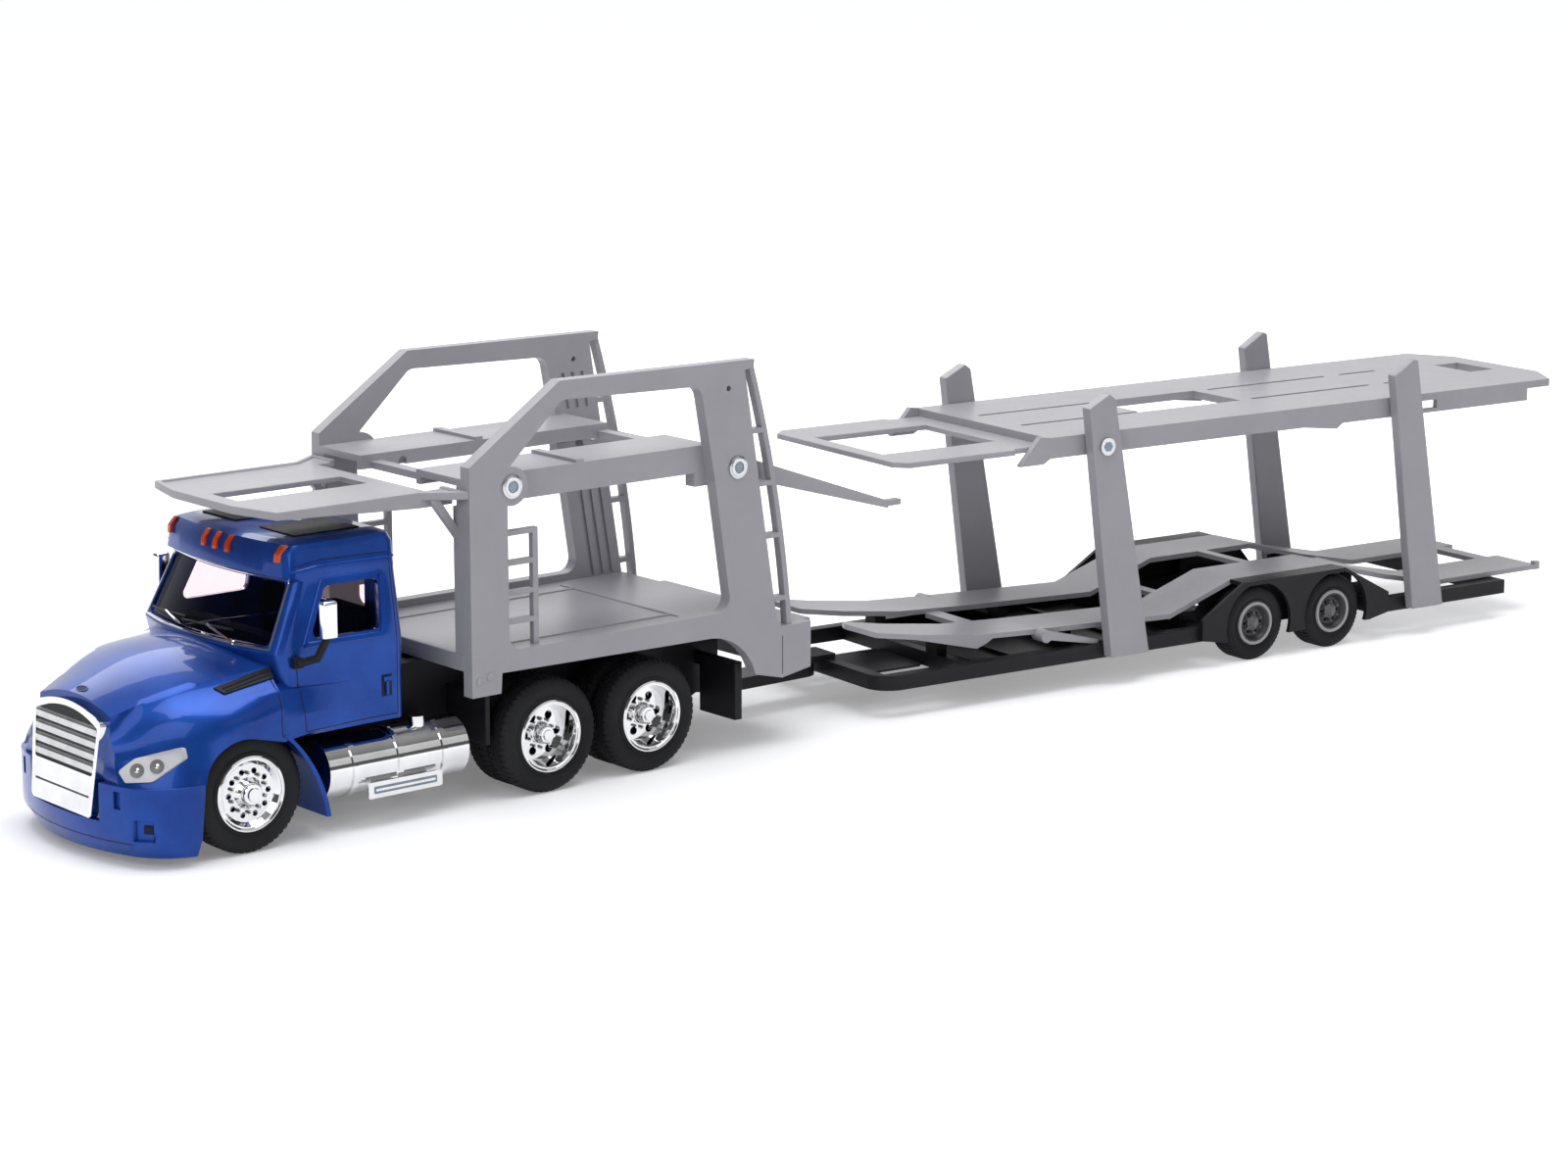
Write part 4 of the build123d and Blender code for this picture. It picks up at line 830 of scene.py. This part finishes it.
# Distances out of the grille's plane of the black sheet, which is painted shade in the grille's pocket
grille_shade_sheet = (1.30, 1.44)
arch_half_steps = 8
louvre_overlap = 0.1
louvre_feet = (8.75, 11.15, 13.55, 15.95)
louvre_section = [
    # height over the louvre's foot, distance out of the grille's plane
    (0.0, 1.38),
    (0.0, 1.50),
    (1.15, 1.78),
    (1.6, 1.68),
    (1.95, 1.38),
]


def build_grille_louvres():
    """Black sheet in the grille's pocket, standing in for the shade behind the louvres (painted shade),
    and four slanted louvres on it.
    """
    rise = grille_crown - grille_high
    radius = (grille_half_high ** 2 + rise ** 2) / (2 * rise)
    sweep_angle = math.asin(grille_half_high / radius)
    turns = [sweep_angle * (1 - step / arch_half_steps) for step in range(2 * arch_half_steps + 1)]
    arch = [(radius * math.sin(turn), grille_crown - radius * (1 - math.cos(turn))) for turn in turns]
    outline = [(-grille_half_low, grille_low), (grille_half_low, grille_low), *arch]
    sheet = Shape()
    vertices, sheet.faces = prism(outline, *grille_shade_sheet)
    sheet.vertices = [grille_point(*vertex) for vertex in vertices]
    # Black sheet as painted shade between and above the louvres
    add_piece("grille_shade_sheet", sheet, "truck", "black_plastic")
    louvres = Shape()
    for foot in louvre_feet:
        part = (foot - grille_low) / (grille_high - grille_low)
        half = grille_half_low + (grille_half_high - grille_half_low) * part + louvre_overlap
        vertices, faces = prism([(foot + up, out) for up, out in louvre_section], -half, half)
        louvres.add([grille_point(across, height, out) for height, out, across in vertices], faces)
    add_piece("grille_louvres", louvres, "truck", "chrome_plate", "screw_steel")


fog_steps = [
    # width, height, back and front of each step of a lamp
    (2.1, 1.7, -0.2, 0.25),
    (1.4, 1.0, 0.25, 0.45),
]
fog_place, fog_corner = (23.3, 8.0), 0.15


def build_fog_lamps():
    """Small square lamps in the bumper's recesses, stepped and dark."""
    skin = skin_of("bumper")
    lamps = Shape()
    y, z = fog_place
    for side in (1, -1):
        hit = from_front(skin, side * y, z)
        if hit:
            place = standing_on(*hit, Vector((0, 1, 0)))
            for width, height, low, high in fog_steps:
                lamps.add(*prism(rounded_block(width, height, fog_corner), low, high), place)
    add_piece("fog_lamps", lamps, "truck", "lamp_lens", "recess_shade_blue")


deck_screws = [
    # x, face, z
    (99.5, 29.1, 65.7),
    (40.6, 29.1, 62.9),
]
post_screw = (-65.8, 29.4, 56.8)
washer_profile = [(1.25, -0.5), (2.45, -0.5), (2.45, -0.28), (2.2, -0.15), (1.25, -0.15)]
washer_steps, socket_sides = 32, 6
deck_socket_radius, deck_socket_span = 1.15, (-0.45, -0.08)
post_socket_radius, post_socket_span = 1.2, (-0.1, 0.12)


def build_screw_faces():
    """Washer rings and hexagon sockets of the big screws; the sockets' darker steel is painted shade."""
    rings, sockets, heads = Shape(), Shape(), Shape()
    deck_socket = prism(disc_points(deck_socket_radius, socket_sides), *deck_socket_span)
    post_socket = prism(disc_points(post_socket_radius, socket_sides), *post_socket_span)
    for side in (1, -1):
        for screw in deck_screws:
            place = wheel_place(*screw, side)
            rings.add(*ring_lathe(washer_profile, washer_steps), place)
            sockets.add(*deck_socket, place)
        heads.add(*post_socket, wheel_place(*post_screw, side))
    add_piece("screw_washers", rings, "truck", "screw_steel")
    add_piece("screw_sockets", sockets, "truck", "screw_steel", "socket_shade_steel")
    add_piece("post_screw_sockets", heads, "trailer", "screw_steel", "socket_shade_steel", trailer_turn)


step_centre = (125.6, 26.8, 8.0)
# length, height and corner radius
step_plate, step_slot, step_tread = (17.8, 3.3, 0.5), (15.2, 1.5, 0.3), (14.4, 0.5, 0.2)
# back and front, out from the centre
plate_span, slot_span, tread_span = (-0.3, 0.2), (-0.1, 0.23), (0.1, 0.3)


def build_tank_steps():
    """Step plates on the tanks, each with a dark grey slot, its darkness painted shade, and a bright
    tread bar.
    """
    plates, slots = Shape(), Shape()
    for side in (1, -1):
        place = wheel_place(*step_centre, side)
        plates.add(*prism(rounded_block(*step_plate), *plate_span), place)
        slots.add(*prism(rounded_block(*step_slot), *slot_span), place)
        plates.add(*prism(rounded_block(*step_tread), *tread_span), place)
    add_piece("tank_step_plates", plates, "truck", "chrome_plate")
    add_piece("tank_step_slots", slots, "truck", "chrome_plate", "socket_shade_steel")


frame_face = 28.5
bed_ribs = [
    # (x, y) ends of a rib on the lower deck
    [(105.5, 17.2), (50.0, 17.2)],
    [(105.5, -17.2), (50.0, -17.2)],
    [(50.0, -21.7), (50.0, 21.7)],
]
frame_studs = [(108.2, 26.6), (105.6, 27.3)]
stud_profile = [(0.0, -0.2), (0.85, -0.2), (0.8, 0.25), (0.5, 0.42), (0.0, 0.46)]
stud_steps = 20
beam_seam = [(28.2, 16.2), (28.2, 24.6)]
bumper_line = [(-21.0, 4.9), (21.0, 4.9)]


def build_small_marks():
    """Ribs on the lower deck, studs and seams on the side frames, a line along the bumper; the seams and
    the line are dark strips as painted shade of their joints.
    """
    ribs, studs, seams, line = Shape(), Shape(), Shape(), Shape()
    deck = skin_of("lower_deck")
    for ends in bed_ribs:
        lay_strip(ribs, deck, ends, "bed_rib", "top")
    sides = skin_of("side_frame_left", "side_frame_right")
    for side in (1, -1):
        for x, z in frame_studs:
            studs.add(*lathe(stud_profile, stud_steps), wheel_place(x, frame_face, z, side))
        lay_strip(seams, sides, beam_seam, "beam_seam", "side", side)
    lay_strip(line, skin_of("bumper"), bumper_line, "bumper_line", "front")
    add_piece("bed_ribs", ribs, "truck", "deck_plastic")
    add_piece("frame_studs", studs, "truck", "deck_plastic")
    # Dark seams and bumper line: painted shade of the joints
    add_piece("beam_seams", seams, "truck", "deck_plastic", "rim_grey")
    add_piece("bumper_line", line, "truck", "cab_paint", "recess_shade_blue")


pan_height = (6.6, 7.1)
pans = [
    # x low, x high, half width
    (-29.2, -7.8, 9.5),
    (-65.2, -31.8, 23.1),
    (-97.2, -67.8, 23.1),
    (-148.7, -100.8, 15.5),
]
pan_rib_places = (-38.0, -49.0, -83.0)
pan_rib_height = 8.0
pan_rib_half_width, pan_rib_half_length = 0.5, 22.9
pan_corner = 1.5
liner_arch = [
    # (x, z) outline of a wheel arch's inner wall
    (-151.0, 12.2),
    (-146.5, 17.4),
    (-143.0, 18.0),
    (-110.0, 18.0),
    (-106.5, 17.4),
    (-102.0, 12.2),
]
liner_wall = (18.2, 18.6)
upright = Matrix(((1, 0, 0, 0), (0, 0, -1, 0), (0, 1, 0, 0), (0, 0, 0, 1)))


def build_trailer_pans():
    """Shallow pans between the trailer's rails and inner walls of its wheel arches."""
    shape, liners = Shape(), Shape()
    cut = pan_corner
    for low, high, half in pans:
        corners = [(low, cut - half), (low + cut, -half), (high - cut, -half), (high, cut - half)]
        corners += [(high, half - cut), (high - cut, half), (low + cut, half), (low, half - cut)]
        shape.add(*prism(corners, *pan_height))
    for x in pan_rib_places:
        low, high, half = x - pan_rib_half_width, x + pan_rib_half_width, pan_rib_half_length
        outline = [(low, -half), (high, -half), (high, half), (low, half)]
        shape.add(*prism(outline, pan_height[0], pan_rib_height))
    for low, high in (liner_wall, (-liner_wall[1], -liner_wall[0])):
        liners.add(*prism(liner_arch, -high, -low), upright)
    add_piece("trailer_pans", shape, "trailer", "black_plastic", turn=trailer_turn)
    add_piece("wheel_arch_liners", liners, "trailer", "black_plastic", turn=trailer_turn)


# Stage
world_light, world_colour = 0.31, (0.95, 0.97, 1.0, 1.0)
floor_colour = (0.80, 0.80, 0.82)
# Floor's half width and the middle of its darkest place, in metres
floor_half, dark_centre = 6.0, (0.16, 0.05, 0.0)
glow_range = {
    # distances from that place in metres, and the glow there
    "From Min": 0.08,
    "From Max": 0.60,
    "To Min": 0.18,
    "To Max": 0.75,
}


def seen_directly(tree_nodes, links):
    """1 for camera, mirror and glass rays, else 0."""
    light_path = tree_nodes.new("ShaderNodeLightPath")
    socket = light_path.outputs["Is Camera Ray"]
    for name in ("Is Glossy Ray", "Is Transmission Ray"):
        larger = tree_nodes.new("ShaderNodeMath")
        larger.operation = "MAXIMUM"
        links.new(socket, larger.inputs[0])
        links.new(light_path.outputs[name], larger.inputs[1])
        socket = larger.outputs["Value"]
    return socket


def build_floor():
    """Pale floor that keeps the shadow and turns white to the camera further out."""
    half = floor_half
    corners = [(-half, -half, 0), (half, -half, 0), (half, half, 0), (-half, half, 0)]
    mesh = bpy.data.meshes.new("floor")
    mesh.from_pydata(corners, [], [(0, 1, 2, 3)])
    floor = bpy.data.objects.new("floor", mesh)
    bpy.context.scene.collection.objects.link(floor)
    material, tree_nodes, links, shader = new_material("floor_white")
    set_values(shader, Base_Color=floor_colour, Roughness=0.9, Specular_IOR_Level=0.0)
    coordinates = tree_nodes.new("ShaderNodeTexCoord")
    distance = tree_nodes.new("ShaderNodeVectorMath")
    distance.operation = "DISTANCE"
    distance.inputs[1].default_value = dark_centre
    links.new(coordinates.outputs["Object"], distance.inputs[0])
    fade = tree_nodes.new("ShaderNodeMapRange")
    for name, value in glow_range.items():
        fade.inputs[name].default_value = value
    links.new(distance.outputs["Value"], fade.inputs["Value"])
    glow = tree_nodes.new("ShaderNodeEmission")
    links.new(fade.outputs["Result"], glow.inputs["Strength"])
    both = tree_nodes.new("ShaderNodeAddShader")
    links.new(shader.outputs["BSDF"], both.inputs[0])
    links.new(glow.outputs["Emission"], both.inputs[1])
    choose = tree_nodes.new("ShaderNodeMixShader")
    links.new(seen_directly(tree_nodes, links), choose.inputs["Fac"])
    links.new(shader.outputs["BSDF"], choose.inputs[1])
    links.new(both.outputs["Shader"], choose.inputs[2])
    links.new(choose.outputs["Shader"], tree_nodes["Material Output"].inputs["Surface"])
    floor.data.materials.append(material)


room_stops = [
    # height of a ray's direction, brightness of the room there to metal and glass
    (-1.0, 1.0),
    (0.0, 1.0),
    (0.05, 0.10),
    (0.42, 0.12),
    (0.75, 0.30),
    (1.0, 0.40),
]
backdrop_stops = [
    # height of a ray's direction, brightness of the white backdrop there
    (-1.0, 1.0),
    (0.62, 1.0),
    (0.78, 0.25),
    (1.0, 0.25),
]
backdrop_start, backdrop_full = 0.35, 0.75


def height_ramp(tree_nodes, links, height, stops):
    """Grey ramp over the height of a direction, from -1 to 1."""
    lift = tree_nodes.new("ShaderNodeMapRange")
    lift.inputs["From Min"].default_value = -1.0
    links.new(height, lift.inputs["Value"])
    node = tree_nodes.new("ShaderNodeValToRGB")
    elements = node.color_ramp.elements
    while len(elements) < len(stops):
        elements.new(0.5)
    for element, (place, grey) in zip(elements, stops):
        element.position = (place + 1) / 2
        element.color = (grey, grey, grey, 1.0)
    links.new(lift.outputs["Result"], node.inputs["Fac"])
    return node.outputs["Color"]


def build_world():
    """White to the camera; metal and glass see the white backdrop and a darker room; soft light else."""
    world = bpy.data.worlds.new("studio")
    bpy.context.scene.world = world
    world.use_nodes = True
    tree_nodes, links = world.node_tree.nodes, world.node_tree.links
    tree_nodes.clear()
    output = tree_nodes.new("ShaderNodeOutputWorld")
    direction = tree_nodes.new("ShaderNodeTexCoord").outputs["Generated"]
    split = tree_nodes.new("ShaderNodeSeparateXYZ")
    links.new(direction, split.inputs["Vector"])
    away = tree_nodes.new("ShaderNodeVectorMath")
    away.operation = "DOT_PRODUCT"
    yaw = math.radians(camera_yaw)
    away.inputs[1].default_value = (math.cos(yaw), math.sin(yaw), 0.0)
    links.new(direction, away.inputs[0])
    behind = tree_nodes.new("ShaderNodeMapRange")
    behind.inputs["From Min"].default_value = backdrop_start
    behind.inputs["From Max"].default_value = backdrop_full
    links.new(away.outputs["Value"], behind.inputs["Value"])
    mix = tree_nodes.new("ShaderNodeMixRGB")
    links.new(behind.outputs["Result"], mix.inputs["Fac"])
    for name, stops in (("Color1", room_stops), ("Color2", backdrop_stops)):
        links.new(height_ramp(tree_nodes, links, split.outputs["Z"], stops), mix.inputs[name])
    plain = tree_nodes.new("ShaderNodeBackground")
    plain.inputs["Color"].default_value = world_colour
    plain.inputs["Strength"].default_value = world_light
    studio = tree_nodes.new("ShaderNodeBackground")
    links.new(mix.outputs["Color"], studio.inputs["Color"])
    white = tree_nodes.new("ShaderNodeBackground")
    white.inputs["Color"].default_value = (1.0, 1.0, 1.0, 1.0)
    choose = tree_nodes.new("ShaderNodeMixShader")
    links.new(seen_directly(tree_nodes, links), choose.inputs["Fac"])
    links.new(plain.outputs["Background"], choose.inputs[1])
    links.new(studio.outputs["Background"], choose.inputs[2])
    light_path = tree_nodes.new("ShaderNodeLightPath")
    last = tree_nodes.new("ShaderNodeMixShader")
    links.new(light_path.outputs["Is Camera Ray"], last.inputs["Fac"])
    links.new(choose.outputs["Shader"], last.inputs[1])
    links.new(white.outputs["Background"], last.inputs[2])
    links.new(last.outputs["Shader"], output.inputs["Surface"])


soft_boxes = [
    # name, place, aim, width, height, watts
    ("overhead", (60, 60, 900), (20, 0, 0), 900, 700, 8.0),
    ("key", (700, 350, 500), (100, 0, 30), 500, 400, 1.4),
    ("side_fill", (-250, 750, 380), (-40, 0, 30), 700, 350, 0.4),
    ("back_box", (-310, -1046, 845), (60, 0, 40), 800, 500, 2.6),
]


def build_lights():
    """Large soft boxes: overhead, from ahead, along the near side and behind."""
    for name, place, aim, width, height, watts in soft_boxes:
        lamp = bpy.data.lights.new(name, "AREA")
        lamp.shape = "RECTANGLE"
        lamp.size = width * MM
        lamp.size_y = height * MM
        lamp.energy = watts
        holder = bpy.data.objects.new(name, lamp)
        bpy.context.scene.collection.objects.link(holder)
        holder.location = Vector(place) * MM
        holder.rotation_euler = (Vector(aim) - Vector(place)).to_track_quat("-Z", "Y").to_euler()


def build_camera():
    """Camera at the photograph's place."""
    data = bpy.data.cameras.new("camera")
    data.sensor_width = sensor_width
    data.lens = focal_pixels * sensor_width / image_width
    data.clip_start, data.clip_end = camera_clip
    camera = bpy.data.objects.new("camera", data)
    bpy.context.scene.collection.objects.link(camera)
    yaw, pitch, roll = (math.radians(angle) for angle in (camera_yaw, camera_pitch, camera_roll))
    aim = Vector((math.cos(pitch) * math.cos(yaw), math.cos(pitch) * math.sin(yaw), math.sin(pitch)))
    turn = aim.to_track_quat("-Z", "Y").to_matrix().to_4x4()
    stand = Matrix.Translation(Vector(camera_place) * MM)
    camera.matrix_world = stand @ turn @ Matrix.Rotation(roll, 4, "Z")
    bpy.context.scene.camera = camera


bpy.context.scene.view_settings.view_transform = "Standard"
build_floor()
build_world()
build_lights()
build_camera()
dress_nodes()
build_tyres()
build_hubs()
build_cab_seams()
build_window_trim()
build_door_handles()
build_wipers()
build_headlight_bowls()
build_hood_recess()
build_vent_ribs()
build_grille_louvres()
build_fog_lamps()
build_screw_faces()
build_tank_steps()
build_small_marks()
build_trailer_pans()
